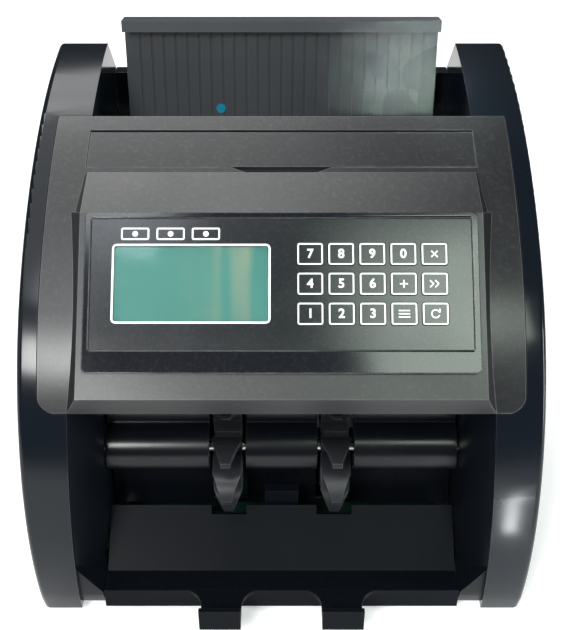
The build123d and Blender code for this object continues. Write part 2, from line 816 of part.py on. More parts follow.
def tie_rods():
    """Rods that hold the two frame plates apart, tapped at each end."""
    rods = []
    for station in tie_points:
        piece = rod(-frame_in, frame_in, station, rod_radius)
        for tapped in both(rod(frame_in - rod_thread, frame_in, station, screw_radius)):
            piece -= tapped
        rods.append(piece)
    return rods


def shaft_bushes():
    """Plain bushes in the frame plates, two for each shaft."""
    bushes = []
    for axis, radius in [(axis, shaft_radius) for axis in shaft_axes] + [(pinch_axis, rod_radius)]:
        low = frame_out - bush_length / 2 - 1.0
        ring = rod(low, frame_out, axis, radius + bush_wall) - rod(0, far, axis, radius + running_gap)
        bushes.extend(both(ring))
    return bushes


# ---- rollers and shafts --------------------------------------------------------------------
def shaft(axis, radius, lanes=0):
    """A shaft through both frame plates; lanes is how many pulley lanes it crosses."""
    right = lane_starts[lanes - 1] + lane_width if lanes else frame_out + 1.0
    return rod(-frame_out - 1.0, right, axis, radius)


def pulley(axis, lane, radius, hub_radius):
    """A flat-belt pulley in one lane."""
    low = lane_starts[lane]
    return rod(low, low + lane_width, axis, radius) - rod(0, far, axis, hub_radius)


def rollers(axis, xs, width, radius, hub_radius):
    """Rubber rollers on a shaft."""
    pieces = []
    for x in xs:
        body = rod(x - width / 2, x + width / 2, axis, radius)
        pieces.append(body - rod(-far, far, axis, hub_radius))
    return pieces


def transport_shaft():
    """Shaft and its three pulleys."""
    pieces = [shaft(transport_axis, shaft_radius, 3)]
    for lane, radius in enumerate(transport_pulleys):
        pieces.append(pulley(transport_axis, lane, radius, shaft_radius))
    return pieces


def feed_shaft():
    """Shaft and its two pulleys."""
    pieces = [shaft(feed_axis, shaft_radius, 2)]
    for lane, radius in enumerate(feed_pulleys):
        pieces.append(pulley(feed_axis, lane, radius, shaft_radius))
    return pieces


def pick_shaft():
    """Shaft and pulley."""
    return [shaft(pick_axis, shaft_radius, 1), pulley(pick_axis, 0, pick_pulley, shaft_radius)]


def stacker_shaft():
    """Shaft and pulley."""
    return [shaft(stacker_axis, shaft_radius, 3), pulley(stacker_axis, 2, stacker_pulley, shaft_radius)]


def pinch_rollers():
    """Idler shaft with two rollers pressed towards the transport rollers."""
    pieces = rollers(pinch_axis, (-transport_x, transport_x), transport_width - 4, pinch_radius, rod_radius)
    return [shaft(pinch_axis, rod_radius)] + pieces


def stacker_wheel(x):
    """A wheel of curved blades whose tips narrow to points."""
    centre = Pos(x, *at(stacker_axis))
    hub = Circle(wheel_hub_radius)
    reach = wheel_radius - wheel_hub_radius + 1.5
    bend = 0.62 * wheel_radius
    ring = Pos(0, bend) * (Circle(bend + blade_thick / 2) - Circle(bend - blade_thick / 2))
    start = Pos(wheel_radius / 2, wheel_radius / 2) * Rectangle(wheel_radius, wheel_radius)
    blade = ring & start & Circle(wheel_radius)
    star = hub
    for index in range(wheel_blades):
        turned = Rot(0, 0, index * 360 / wheel_blades) * (Pos(wheel_hub_radius - 1.5, 0) * blade)
        star += turned & Circle(wheel_radius)
    across = Plane.YZ.offset(-wheel_width / 2)
    solid = extrude(across * star, wheel_width, dir=(1, 0, 0))
    half = wheel_width / 2
    lens = make_face(
        Polyline(
            (-half, 0),
            (half, 0),
            (half, wheel_radius - 0.4 * reach),
            (half / 3, wheel_radius),
            (-half / 3, wheel_radius),
            (-half, wheel_radius - 0.4 * reach),
            close=True,
        )
    )
    solid &= revolve(lens, Axis.X)
    solid -= Cylinder(shaft_radius, wheel_width + 2, rotation=(0, 90, 0))
    return centre * solid


def retard_roller():
    """The fixed separator shaft with its two rubber rollers."""
    pieces = rollers(retard_axis, (-feed_x, feed_x), feed_width - 4, retard_radius, rod_radius)
    return [rod(-frame_in, frame_in, retard_axis, rod_radius)] + pieces


# ---- separator adjustment ------------------------------------------------------------------
def separator_bracket():
    """A cross plate over the separator, tapped for the adjusting screw."""
    rear = knob_b + bracket_rear
    top = bracket_h + bracket_thick
    body = block(-frame_in, frame_in, knob_b - bracket_front, rear, bracket_h, top)
    body += block(-frame_in, frame_in, rear - bracket_thick, rear, bracket_h - bracket_skirt, top)
    return body - post(0, knob_b, 0, far, knob_screw_radius + running_gap)


def gap_knob():
    """The thumb knob and screw that set the separator's gap."""
    low = bracket_h + bracket_thick + seam
    body = post(0, knob_b, low, low + knob_height, knob_radius)
    for index in range(knob_flutes):
        b, x = polar((knob_b, 0), knob_radius, index * 360 / knob_flutes)
        body -= post(x, b, 0, far, flute_radius)
    return body + post(0, knob_b, bracket_h - 4.0, low + 1.0, knob_screw_radius)


# ---- drive ---------------------------------------------------------------------------------
def main_motor():
    """The main motor, on the right-hand frame plate."""
    body = rod(frame_in - motor_length, frame_in, motor_axis, motor_radius)
    body += rod(frame_in, frame_out + 1.0, motor_axis, motor_shaft_radius + motor_hub_wall)
    return body - rod(frame_in - motor_length + 8, far, motor_axis, motor_shaft_radius + running_gap)


def motor_pulley():
    """The motor's shaft and pulley."""
    core = rod(frame_in - motor_length + 9, lane_starts[0] + lane_width, motor_axis, motor_shaft_radius)
    return [core, pulley(motor_axis, 0, motor_pulley_radius, motor_shaft_radius)]


def belt(first, first_radius, second, second_radius, lane):
    """A flat belt round two pulleys: the outline of both circles, less the same a belt's thickness in."""
    loops = []
    for grow in (belt_gap + belt_thick, belt_gap):
        circles = [
            Pos(*at(first)) * Circle(first_radius + grow),
            Pos(*at(second)) * Circle(second_radius + grow),
        ]
        loops.append(make_hull(circles[0].edges() + circles[1].edges()))
    low = lane_starts[lane] + 0.5
    return prism(loops[0] - loops[1], low, low + lane_width - 1.0)


def drive_belts():
    """Motor to transport, transport to feed, feed to pick, transport to stacker."""
    return [
        belt(motor_axis, motor_pulley_radius, transport_axis, transport_pulleys[0], 0),
        belt(feed_axis, feed_pulleys[0], pick_axis, pick_pulley, 0),
        belt(feed_axis, feed_pulleys[1], transport_axis, transport_pulleys[1], 1),
        belt(stacker_axis, stacker_pulley, transport_axis, transport_pulleys[2], 2),
    ]


# ---- hopper --------------------------------------------------------------------------------
def hopper_floor():
    """The sloping floor, slotted for the pick rollers."""
    half = hopper_half - seam
    end_b = rear_wall_b - seam
    section = side_shape(
        floor_start,
        (end_b, floor_height(end_b)),
        (end_b, floor_height(end_b) - floor_thick),
        (floor_start[0], floor_start[1] - floor_thick),
    )
    body = prism(section, -half, half)
    for x in (-pick_x, pick_x):
        reach = pick_width / 2 + 1.5
        chord = sqrt(pick_radius ** 2 - (pick_radius - pick_proud - floor_thick) ** 2)
        spread = chord * cos(radians(floor_angle)) + 2.0
        body -= block(x - reach, x + reach, pick_b - spread, pick_b + spread, 0, far)
    return body


def support_plate():
    """The ribbed note support: hinge barrel, leaning plate with grooves, forward lip."""
    top = horn_height + plate_over_horn
    length = (top - plate_hinge[1]) / cos(radians(plate_lean))
    flat = Rectangle(plate_thick, length, align=(Align.MIN, Align.MIN))
    lip = Pos(-plate_lip, length - plate_thick) * Rectangle(plate_lip, plate_thick, align=(Align.MIN, Align.MIN))
    face = Pos(-plate_lip, length - plate_lip_face) * Rectangle(
        plate_thick, plate_lip_face, align=(Align.MIN, Align.MIN)
    )
    section = Pos(*at(plate_hinge)) * (Rot(0, 0, -plate_lean) * (flat + lip + face))
    body = prism(section, -plate_half, plate_half)
    lean = Plane.YZ * (Pos(*at(plate_hinge)) * Rot(0, 0, -plate_lean))
    groove_length = length - plate_lip_face - 6.0
    count = int((2 * plate_half - 10.0) / rib_pitch)
    for index in range(count):
        x = (index - (count - 1) / 2) * rib_pitch
        cut = Box(2 * groove_depth, groove_length, rib_groove, align=(Align.CENTER, Align.MIN, Align.CENTER))
        body -= lean * Pos(0, hinge_radius + 2.0, x) * cut
    body += rod(-plate_half, plate_half, plate_hinge, hinge_radius)
    body -= lens_seat()
    for bore in both(rod(plate_half - 8.0, far, plate_hinge, pin_radius + running_gap)):
        body -= bore
    return body


def lens_seat():
    """The round seat of the hopper sensor's lens, through the plate."""
    lean = Plane.YZ * (Pos(*at(plate_hinge)) * Rot(0, 0, -plate_lean))
    turned = Rot(0, 90, 0) * Cylinder(plate_lens_radius, 4 * plate_thick)
    return lean * Pos(plate_thick / 2, plate_lens_up, plate_lens_x) * turned


def hopper_lens():
    """The round lens of the hopper's note sensor, a little back from the plate's face."""
    lean = Plane.YZ * (Pos(*at(plate_hinge)) * Rot(0, 0, -plate_lean))
    turned = Rot(0, 90, 0) * Cylinder(plate_lens_radius, plate_thick)
    return lean * Pos(plate_thick / 2, plate_lens_up, plate_lens_x) * turned


def plate_brackets():
    """Two ears on the hopper floor, each with a fixed hinge pin."""
    b, h = plate_hinge
    section = side_shape((b - 5, h + 5), (b - 5, floor_height(b - 5)), (b + 5, floor_height(b + 5)), (b + 5, h + 5))
    low = plate_half + 0.5
    ear = prism(section, low, low + 3.0)
    return both(ear + rod(plate_half - 7.0, low + 1.0, plate_hinge, pin_radius))


# ---- control panel -------------------------------------------------------------------------
def panel_bezel():
    """The raised frame round the panel's overlay, broad at its foot."""
    outer = panel_block(-bezel_half, bezel_half, bezel_foot, bezel_head, 0, bezel_rise, bezel_corner)
    return outer - panel_block(-overlay_half, overlay_half, overlay_foot, overlay_head, -1, bezel_rise + 1)


def keypad_overlay():
    """The overlay plate, cut for the display window and the keys."""
    body = panel_block(
        -overlay_half + fit_gap,
        overlay_half - fit_gap,
        overlay_foot + fit_gap,
        overlay_head - fit_gap,
        0,
        overlay_thick,
    )
    body -= panel_block(window_left, window_right, window_foot, window_head, -1, overlay_thick + 1, window_corner)
    for column, row, middle in key_places():
        half_x = key_width / 2 + key_gap
        half_y = key_height / 2 + key_gap
        body -= panel_block(
            middle[0] - half_x,
            middle[0] + half_x,
            middle[1] - half_y,
            middle[1] + half_y,
            -1,
            overlay_thick + 1,
            key_corner + key_gap,
        )
    return body


def display_window():
    """The clear window, let into the overlay a little below its face."""
    return panel_block(
        window_left + fit_gap,
        window_right - fit_gap,
        window_foot + fit_gap,
        window_head - fit_gap,
        0,
        window_thick,
        window_corner - fit_gap,
    )


def control_board():
    """The circuit board behind the panel, its display module and one switch under each key."""
    low = -board_depth
    half = overlay_half - ledge - 2.0
    pieces = [panel_block(-half, half, overlay_foot + ledge + 2, overlay_head - ledge - 2, low, low + board_thick)]
    module_low = low + board_thick
    pieces.append(
        panel_block(window_left - 2.5, window_right + 2.5, window_foot - 2, window_head + 2, module_low, -0.4)
    )
    for column, row, middle in key_places():
        base = panel_block(
            middle[0] - 3, middle[0] + 3, middle[1] - 3, middle[1] + 3, module_low, module_low + switch_rise
        )
        pieces.append(base)
    return pieces


def key(middle):
    """A key: face, stem flange that holds it under the overlay, and a plunger over its switch."""
    x, y = middle
    half_x = key_width / 2
    half_y = key_height / 2
    top = overlay_thick + key_proud
    low = -flange_drop - flange_thick
    body = panel_block(x - half_x, x + half_x, y - half_y, y + half_y, low, top, key_corner)
    body += panel_block(
        x - half_x - key_flange,
        x + half_x + key_flange,
        y - half_y - key_flange,
        y + half_y + key_flange,
        low,
        -flange_drop,
    )
    plunger_low = -board_depth + board_thick + switch_rise + key_travel + 0.2
    return body + extrude(panel_plane.offset(plunger_low) * (Pos(x, y) * Circle(2.0)), low - plunger_low)


# ---- electrics -----------------------------------------------------------------------------
def power_supply():
    """The power supply in its sheet-metal box."""
    rear = case_depth - supply_setback
    low = pan_top + 2
    return block(supply_left, supply_left + supply_width, rear - supply_depth, rear, low, low + supply_height)


def main_board():
    """The main circuit board on its spacers, with its larger components."""
    low = pan_top + spacer_height
    top = low + board_thick
    pieces = [block(-main_board_half, main_board_half, main_board_front, main_board_rear, low, top)]
    spacer_x = main_board_half - spacer_inset
    for x in (-spacer_x, spacer_x):
        for b in (main_board_front + spacer_inset, main_board_rear - spacer_inset):
            pieces.append(post(x, b, pan_top, low, spacer_radius))
    pieces.append(block(-70.0, -46.0, 104.0, 128.0, top, top + 4))
    pieces.append(block(-20.0, 0.0, 106.0, 126.0, top, top + 2))
    for x in (22.0, 36.0, 50.0):
        pieces.append(post(x, 118.0, top, top + 12, 5.0))
    return pieces


def power_inlet():
    """The mains inlet and the switch's housing, in one flanged moulding, with three contact pins."""
    body = block(
        inlet_left + fit_gap,
        inlet_right - fit_gap,
        case_depth - inlet_deep,
        case_depth,
        inlet_low + fit_gap,
        inlet_high - fit_gap,
    )
    socket = block(
        inlet_left + inlet_wall,
        socket_right - inlet_wall,
        case_depth - inlet_deep + 3,
        case_depth + 1,
        inlet_low + inlet_wall,
        inlet_high - inlet_wall,
    )
    middle_x = (inlet_left + socket_right) / 2
    middle_h = (inlet_low + inlet_high) / 2
    body -= socket
    for step, h in ((-1, middle_h - 2), (0, middle_h + 3), (1, middle_h - 2)):
        x = middle_x + step * contact_pitch
        body += block(
            x - contact_half,
            x + contact_half,
            case_depth - inlet_deep + 2,
            case_depth - 4,
            h - contact_half_height,
            h + contact_half_height,
        )
    body -= block(
        rocker_left,
        rocker_right,
        rocker_axis[0] - rocker_radius - 1,
        case_depth + 1,
        rocker_axis[1] - rocker_radius - 0.8,
        rocker_axis[1] + rocker_radius + 0.8,
    )
    return body - rod(rocker_left - 2, rocker_right + 2, rocker_axis, rocker_pin + running_gap)


def power_rocker():
    """The mains switch's rocker: a drum with two flat faces that meet in a shallow valley."""
    left = rocker_left + rocker_side_gap
    right = rocker_right - rocker_side_gap
    drum = rod(left, right, rocker_axis, rocker_radius)
    b, h = rocker_axis
    faces = side_shape(
        (b + rocker_valley, h),
        (b + rocker_crest, h + rocker_radius + 1),
        (b + 20, h + rocker_radius + 1),
        (b + 20, h - rocker_radius - 1),
        (b + rocker_crest, h - rocker_radius - 1),
    )
    pin = rod(rocker_left - 1.6, rocker_right + 1.6, rocker_axis, rocker_pin)
    return drum - prism(faces, left - 1, right + 1) + pin


# ---- output --------------------------------------------------------------------------------
def save(name, shape):
    """Writes one sub-part, as the solids it is made of."""
    pieces = shape if isinstance(shape, list) else [shape]
    solids = [solid for piece in pieces for solid in piece.solids()]
    export_step(solids[0] if len(solids) == 1 else Compound(solids), f"parts/{name}.step")


def sub_parts():
    """Every sub-part by name."""
    cover = side_cover()
    wall = pocket_wall()
    plate = frame_plate()
    parts = {
        "right_side_cover": cover,
        "left_side_cover": mirror(cover, about=Plane.YZ),
        "top_cover": top_cover(),
        "access_lid": access_lid(),
        "rear_cover": rear_cover(),
        "base_pan": base_pan(),
        "rubber_feet": rubber_feet(),
        "cover_screws": cover_screws(),
        "right_pocket_wall": wall,
        "left_pocket_wall": mirror(wall, about=Plane.YZ),
        "stacker_tray": stacker_tray(),
        "stacker_guide": stacker_guide(),
        "note_guides": note_guides(),
        "note_sensors": note_sensors(),
        "right_frame_plate": plate,
        "left_frame_plate": mirror(plate, about=Plane.YZ),
        "tie_rods": tie_rods(),
        "shaft_bushes": shaft_bushes(),
        "transport_shaft": transport_shaft(),
        "transport_rollers": rollers(
            transport_axis, (-transport_x, 0, transport_x), transport_width, transport_radius, shaft_radius
        ),
        "feed_shaft": feed_shaft(),
        "feed_rollers": rollers(feed_axis, (-feed_x, feed_x), feed_width, feed_radius, shaft_radius),
        "pick_shaft": pick_shaft(),
        "pick_rollers": rollers(pick_axis, (-pick_x, pick_x), pick_width, pick_radius, shaft_radius),
        "stacker_shaft": stacker_shaft(),
        "stacker_wheels": [stacker_wheel(-wheel_x), stacker_wheel(wheel_x)],
        "pinch_rollers": pinch_rollers(),
        "retard_roller": retard_roller(),
        "separator_bracket": separator_bracket(),
        "gap_knob": gap_knob(),
        "main_motor": main_motor(),
        "motor_pulley": motor_pulley(),
        "drive_belts": drive_belts(),
        "hopper_floor": hopper_floor(),
        "support_plate": support_plate(),
        "hopper_lens": hopper_lens(),
        "plate_brackets": plate_brackets(),
        "panel_bezel": panel_bezel(),
        "keypad_overlay": keypad_overlay(),
        "display_window": display_window(),
        "control_board": control_board(),
        "power_supply": power_supply(),
        "main_board": main_board(),
        "power_inlet": power_inlet(),
        "power_rocker": power_rocker(),
    }
    for column, row, middle in key_places():
        parts[f"key_{key_names[row][column]}"] = key(middle)
    return parts


os.makedirs("parts", exist_ok=True)
for name, shape in sub_parts().items():
    save(name, shape)
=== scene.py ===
"""Banknote counting machine: the finished look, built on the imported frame."""
import json
from math import cos, pi, radians, sin

import bmesh
import bpy
from mathutils import Matrix, Vector


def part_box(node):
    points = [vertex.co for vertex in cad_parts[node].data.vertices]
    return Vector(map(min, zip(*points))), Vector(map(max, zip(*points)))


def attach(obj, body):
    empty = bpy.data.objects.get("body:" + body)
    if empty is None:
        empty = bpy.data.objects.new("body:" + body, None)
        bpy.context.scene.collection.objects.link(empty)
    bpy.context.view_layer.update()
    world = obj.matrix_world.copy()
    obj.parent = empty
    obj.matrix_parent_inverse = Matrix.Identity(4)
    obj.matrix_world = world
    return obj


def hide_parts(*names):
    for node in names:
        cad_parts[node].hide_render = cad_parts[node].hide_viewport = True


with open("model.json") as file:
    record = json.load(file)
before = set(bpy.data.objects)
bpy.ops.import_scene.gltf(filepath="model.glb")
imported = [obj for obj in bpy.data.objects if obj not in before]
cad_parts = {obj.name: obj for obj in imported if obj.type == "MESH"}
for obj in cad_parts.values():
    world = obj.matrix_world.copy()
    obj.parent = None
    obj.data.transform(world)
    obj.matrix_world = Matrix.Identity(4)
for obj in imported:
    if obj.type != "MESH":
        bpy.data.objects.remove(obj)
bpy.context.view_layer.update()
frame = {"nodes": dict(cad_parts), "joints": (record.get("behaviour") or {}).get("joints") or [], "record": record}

bl_info = {
    "name": "Banknote counting machine",
    "version": (1, 0, 0),
    "blender": (4, 5, 0),
    "location": "View3D > Sidebar > Note counter",
    "description": "Dresses the frame of a desktop banknote counting machine",
    "category": "Add Mesh",
}

NODES = frame["nodes"]
BODIES = frame["record"]["behaviour"]["bodies"]
JOINTS = {joint["name"]: joint for joint in frame["joints"]}
BODY_OF = {node: body for body, members in BODIES.items() for node in members}
KEYS = sorted(node for node in NODES if node.startswith("key_"))
INWARD = Vector(JOINTS["key_7_press"]["axis"])
OUTWARD = -INWARD
UPWARD = OUTWARD.cross(Vector((1.0, 0.0, 0.0)))


# ---- settings ------------------------------------------------------------------------------
def colour(name, text, default):
    """A colour property with its swatch."""
    return bpy.props.FloatVectorProperty(
        name=name, description=text, default=default, subtype="COLOR", size=3, min=0.0, max=1.0
    )


def length(name, text, default):
    """A length property in metres."""
    return bpy.props.FloatProperty(
        name=name, description=text, default=default, unit="LENGTH", min=0.0, precision=5
    )


def amount(name, text, default, top=1.0):
    """A plain number property."""
    return bpy.props.FloatProperty(name=name, description=text, default=default, min=0.0, max=top)


class CoverSettings(bpy.types.PropertyGroup):
    """Shells and covers."""

    shell: colour("Shell", "Polished side and rear covers", (0.004, 0.006, 0.009))
    top: colour("Top cover", "Satin top cover and lid", (0.010, 0.011, 0.012))
    shell_gloss: amount("Shell roughness", "Roughness of the polished shells", 0.16)
    top_gloss: amount("Top roughness", "Roughness of the satin top cover", 0.34)
    edge: length("Edge round", "Round of the covers' edges", 0.0007)
    soft_edge: length("Console edge round", "Round of the raised console's edges", 0.0016)


class PanelSettings(bpy.types.PropertyGroup):
    """Control panel."""

    face: colour("Overlay", "Satin overlay of the panel", (0.007, 0.009, 0.011))
    bezel: colour("Bezel", "Frame round the overlay", (0.006, 0.007, 0.010))
    ink: colour("Ink", "Printed outlines and digits", (0.80, 0.84, 0.84))
    screen: colour("Screen", "Unlit display", (0.03, 0.20, 0.17))
    # painted reflection: the pale streaks across the display are painted into its colour
    painted_reflection: colour("Screen haze", "Pale reflection across the display", (0.20, 0.27, 0.19))
    key_line: length("Key outline", "Width of the line round each key", 0.00075)
    window_line: length("Window outline", "Width of the line round the display", 0.0010)
    print_height: length("Ink height", "Thickness of the printed ink", 0.00006)
    digit_height: length("Digit height", "Height of a key's digit", 0.0046)


class WorksSettings(bpy.types.PropertyGroup):
    """Pocket, hopper and what is inside."""

    dark: colour("Dark plastic", "Pocket, tray and hopper parts", (0.003, 0.004, 0.006))
    wheel: colour("Wheel plastic", "Flexible blades of the stacker wheels", (0.016, 0.017, 0.020))
    ribbed: colour("Ribbed plate", "Note support plate", (0.038, 0.042, 0.046))
    lens: colour("Lens", "Hopper sensor lens", (0.01, 0.16, 0.26))
    rubber: colour("Rubber", "Rollers and feet", (0.028, 0.027, 0.026))
    steel: colour("Steel", "Shafts and screws", (0.56, 0.57, 0.58))
    sheet: colour("Sheet metal", "Frame plates, base pan and boxes", (0.46, 0.47, 0.48))
    bronze: colour("Bronze", "Shaft bushes", (0.50, 0.34, 0.17))
    board: colour("Board", "Circuit boards", (0.004, 0.022, 0.014))
    fine_edge: length("Fine edge", "Round of the small parts' edges", 0.0003)


class StageSettings(bpy.types.PropertyGroup):
    """Floor, lights and camera."""

    floor: colour("Floor", "Plain floor", (0.93, 0.93, 0.93))
    floor_glow: amount("Floor glow", "Light of its own that keeps the floor pale", 0.35)
    focal: bpy.props.FloatProperty(
        name="Lens", description="Focal length in millimetres", default=57.14, min=10.0
    )
    pitch: bpy.props.FloatProperty(
        name="Pitch", description="Camera angle below the horizon", default=radians(35.0), subtype="ANGLE"
    )
    camera_back: length("Camera back", "Distance of the camera in front of the origin", 0.4739)
    camera_height: length("Camera height", "Height of the camera", 0.4578)
    sky: amount("Surround", "Strength of the even light all round", 0.08, 10.0)


SETTINGS = (CoverSettings, PanelSettings, WorksSettings, StageSettings)


def settings(group):
    """One group of the scene's settings."""
    return getattr(bpy.context.scene, group)


# ---- mesh helpers --------------------------------------------------------------------------
MERGE_DISTANCE = 2e-6
FLAT_ANGLE = radians(0.5)
LEVEL_TOLERANCE = 1e-5


def add_object(name, mesh, material, body):
    """Links a finished mesh as a piece that rides on a body."""
    piece = bpy.data.objects.new(name, mesh)
    bpy.context.scene.collection.objects.link(piece)
    piece.data.materials.append(material)
    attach(piece, body)
    return piece


def mesh_from(name, shape):
    """Turns a bmesh into a mesh and frees it."""
    mesh = bpy.data.meshes.new(name)
    shape.to_mesh(mesh)
    shape.free()
    return mesh


def dressed(node, material, edge, segments=3, sharp=30.0, joined_faces=True):
    """A part's shape joined into one mesh, its sharp edges rounded and its curves shaded smooth.

    A part with holes or ribs in a flat face keeps its triangles, so that the face shades evenly.
    """
    shape = bmesh.new()
    shape.from_mesh(NODES[node].data)
    bmesh.ops.remove_doubles(shape, verts=shape.verts, dist=MERGE_DISTANCE)
    if joined_faces:
        bmesh.ops.dissolve_limit(shape, angle_limit=FLAT_ANGLE, verts=shape.verts, edges=shape.edges)
    for face in shape.faces:
        face.smooth = True
    mesh = mesh_from(f"{node}_finished", shape)
    if "custom_normal" in mesh.attributes:
        mesh.attributes.remove(mesh.attributes["custom_normal"])
    piece = add_object(f"{node}_finished", mesh, material, BODY_OF[node])
    bevel = piece.modifiers.new("edge round", "BEVEL")
    bevel.width = edge
    bevel.segments = segments
    bevel.limit_method = "ANGLE"
    bevel.angle_limit = radians(sharp)
    bevel.harden_normals = True
    bevel.miter_outer = "MITER_ARC"
    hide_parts(node)
    return piece


def paint(nodes, material):
    """Gives parts whose shape stays as it is their finish."""
    for node in nodes:
        slots = NODES[node].data.materials
        slots.clear()
        slots.append(material)


def panel_frame(centre_x, along, level):
    """Moves flat work from the XY plane onto a plane parallel to the panel."""
    axes = Matrix((Vector((1, 0, 0)), UPWARD, OUTWARD)).transposed().to_4x4()
    place = Vector((centre_x, 0, 0)) + UPWARD * along + OUTWARD * level
    return Matrix.Translation(place) @ axes


def panel_extent(node):
    """Left, right, foot, head and face level of a part's top face, in the panel's own directions."""
    points = [vertex.co for vertex in NODES[node].data.vertices]
    face = max(point.dot(OUTWARD) for point in points)
    top_points = [point for point in points if point.dot(OUTWARD) > face - LEVEL_TOLERANCE]
    along = [point.dot(UPWARD) for point in top_points]
    across = [point.x for point in top_points]
    return min(across), max(across), min(along), max(along), face


def rounded_plate(shape, width, height, corner, steps=5):
    """One flat face with rounded corners, centred on the origin."""
    made = bmesh.ops.create_grid(shape, x_segments=1, y_segments=1, size=0.5)
    bmesh.ops.scale(shape, vec=(width, height, 1.0), verts=made["verts"])
    if corner > 0:
        bmesh.ops.bevel(
            shape, geom=made["verts"], offset=corner, segments=steps,
            profile=0.5, affect="VERTICES", material=-1,
        )
    return max(shape.faces, key=lambda face: face.calc_area())


def rounded_ring(shape, width, height, corner, line, rise):
    """A raised line that follows a rounded rectangle, its outer edge at the given size."""
    face = rounded_plate(shape, width, height, corner)
    bmesh.ops.inset_region(shape, faces=[face], thickness=line, use_even_offset=True, use_boundary=True)
    inner = min(shape.faces, key=lambda f: (f.calc_center_median().length, -len(f.verts)))
    bmesh.ops.delete(shape, geom=[inner], context="FACES_ONLY")
    lift(shape, rise)


def lift(shape, rise):
    """Gives flat work its thickness, upwards."""
    flat = list(shape.faces)
    made = bmesh.ops.extrude_face_region(shape, geom=flat)
    top = [item for item in made["geom"] if isinstance(item, bmesh.types.BMVert)]
    bmesh.ops.translate(shape, vec=(0, 0, rise), verts=top)
    bmesh.ops.recalc_face_normals(shape, faces=shape.faces)


# ---- shader groups -------------------------------------------------------------------------
# how far the rounded and the flat normal must part before an edge counts as worn
EDGE_STARTS = 0.995
EDGE_FULL = 0.90
DUST_STARTS = 0.5
DUST_FULL = 0.8
DUST_COLOUR = (0.32, 0.31, 0.30, 1.0)
RELIEF_DEPTH = 0.0002
GLOSS_FROM = 0.3
GLOSS_TO = 0.7


def new_group(name, inputs, outputs):
    """A shader node group with named sockets; inputs are (name, kind, default)."""
    group = bpy.data.node_groups.new(name, "ShaderNodeTree")
    for label, kind, default in inputs:
        socket = group.interface.new_socket(label, in_out="INPUT", socket_type=kind)
        socket.default_value = default
    for label, kind in outputs:
        group.interface.new_socket(label, in_out="OUTPUT", socket_type=kind)
    start = group.nodes.new("NodeGroupInput")
    end = group.nodes.new("NodeGroupOutput")
    return group, start, end


def link(tree, source, target):
    """Joins one output to one input."""
    tree.links.new(source, target)


def node(tree, kind, **values):
    """A new node with its settings; values whose name is an input go to that input."""
    made = tree.nodes.new(kind)
    for key, value in values.items():
        if hasattr(made, key):
            setattr(made, key, value)
        else:
            made.inputs[key.replace("_", " ")].default_value = value
    return made


def moulded_grain():
    """Fine moulded texture: a height for bump, and a slow unevenness of the gloss."""
    group, start, end = new_group(
        "moulded_grain",
        [("Scale", "NodeSocketFloat", 900.0), ("Stretch", "NodeSocketVector", (1.0, 1.0, 1.0))],
        [("Height", "NodeSocketFloat"), ("Unevenness", "NodeSocketFloat")],
    )
    place = node(group, "ShaderNodeTexCoord")
    mapping = node(group, "ShaderNodeMapping")
    link(group, place.outputs["Object"], mapping.inputs["Vector"])
    link(group, start.outputs["Stretch"], mapping.inputs["Scale"])
    fine = node(group, "ShaderNodeTexNoise", Detail=3.0, Roughness=0.6)
    link(group, mapping.outputs["Vector"], fine.inputs["Vector"])
    link(group, start.outputs["Scale"], fine.inputs["Scale"])
    slow = node(group, "ShaderNodeTexNoise", Scale=14.0, Detail=2.0)
    link(group, place.outputs["Object"], slow.inputs["Vector"])
    link(group, fine.outputs["Fac"], end.inputs["Height"])
    link(group, slow.outputs["Fac"], end.inputs["Unevenness"])
    return group


def edge_wear():
    """A mask of the edges, broken up by noise, where a finish has rubbed lighter."""
    group, start, end = new_group(
        "edge_wear",
        [("Width", "NodeSocketFloat", 0.0008), ("Break up", "NodeSocketFloat", 160.0)],
        [("Mask", "NodeSocketFloat")],
    )
    bend = node(group, "ShaderNodeBevel", samples=4)
    link(group, start.outputs["Width"], bend.inputs["Radius"])
    plain = node(group, "ShaderNodeNewGeometry")
    compare = node(group, "ShaderNodeVectorMath", operation="DOT_PRODUCT")
    link(group, bend.outputs["Normal"], compare.inputs[0])
    link(group, plain.outputs["Normal"], compare.inputs[1])
    sharpen = node(group, "ShaderNodeMapRange")
    sharpen.inputs["From Min"].default_value = EDGE_STARTS
    sharpen.inputs["From Max"].default_value = EDGE_FULL
    link(group, compare.outputs["Value"], sharpen.inputs["Value"])
    place = node(group, "ShaderNodeTexCoord")
    noise = node(group, "ShaderNodeTexNoise", Detail=4.0)
    link(group, place.outputs["Object"], noise.inputs["Vector"])
    link(group, start.outputs["Break up"], noise.inputs["Scale"])
    product = node(group, "ShaderNodeMath", operation="MULTIPLY")
    link(group, sharpen.outputs["Result"], product.inputs[0])
    link(group, noise.outputs["Fac"], product.inputs[1])
    link(group, product.outputs["Value"], end.inputs["Mask"])
    return group


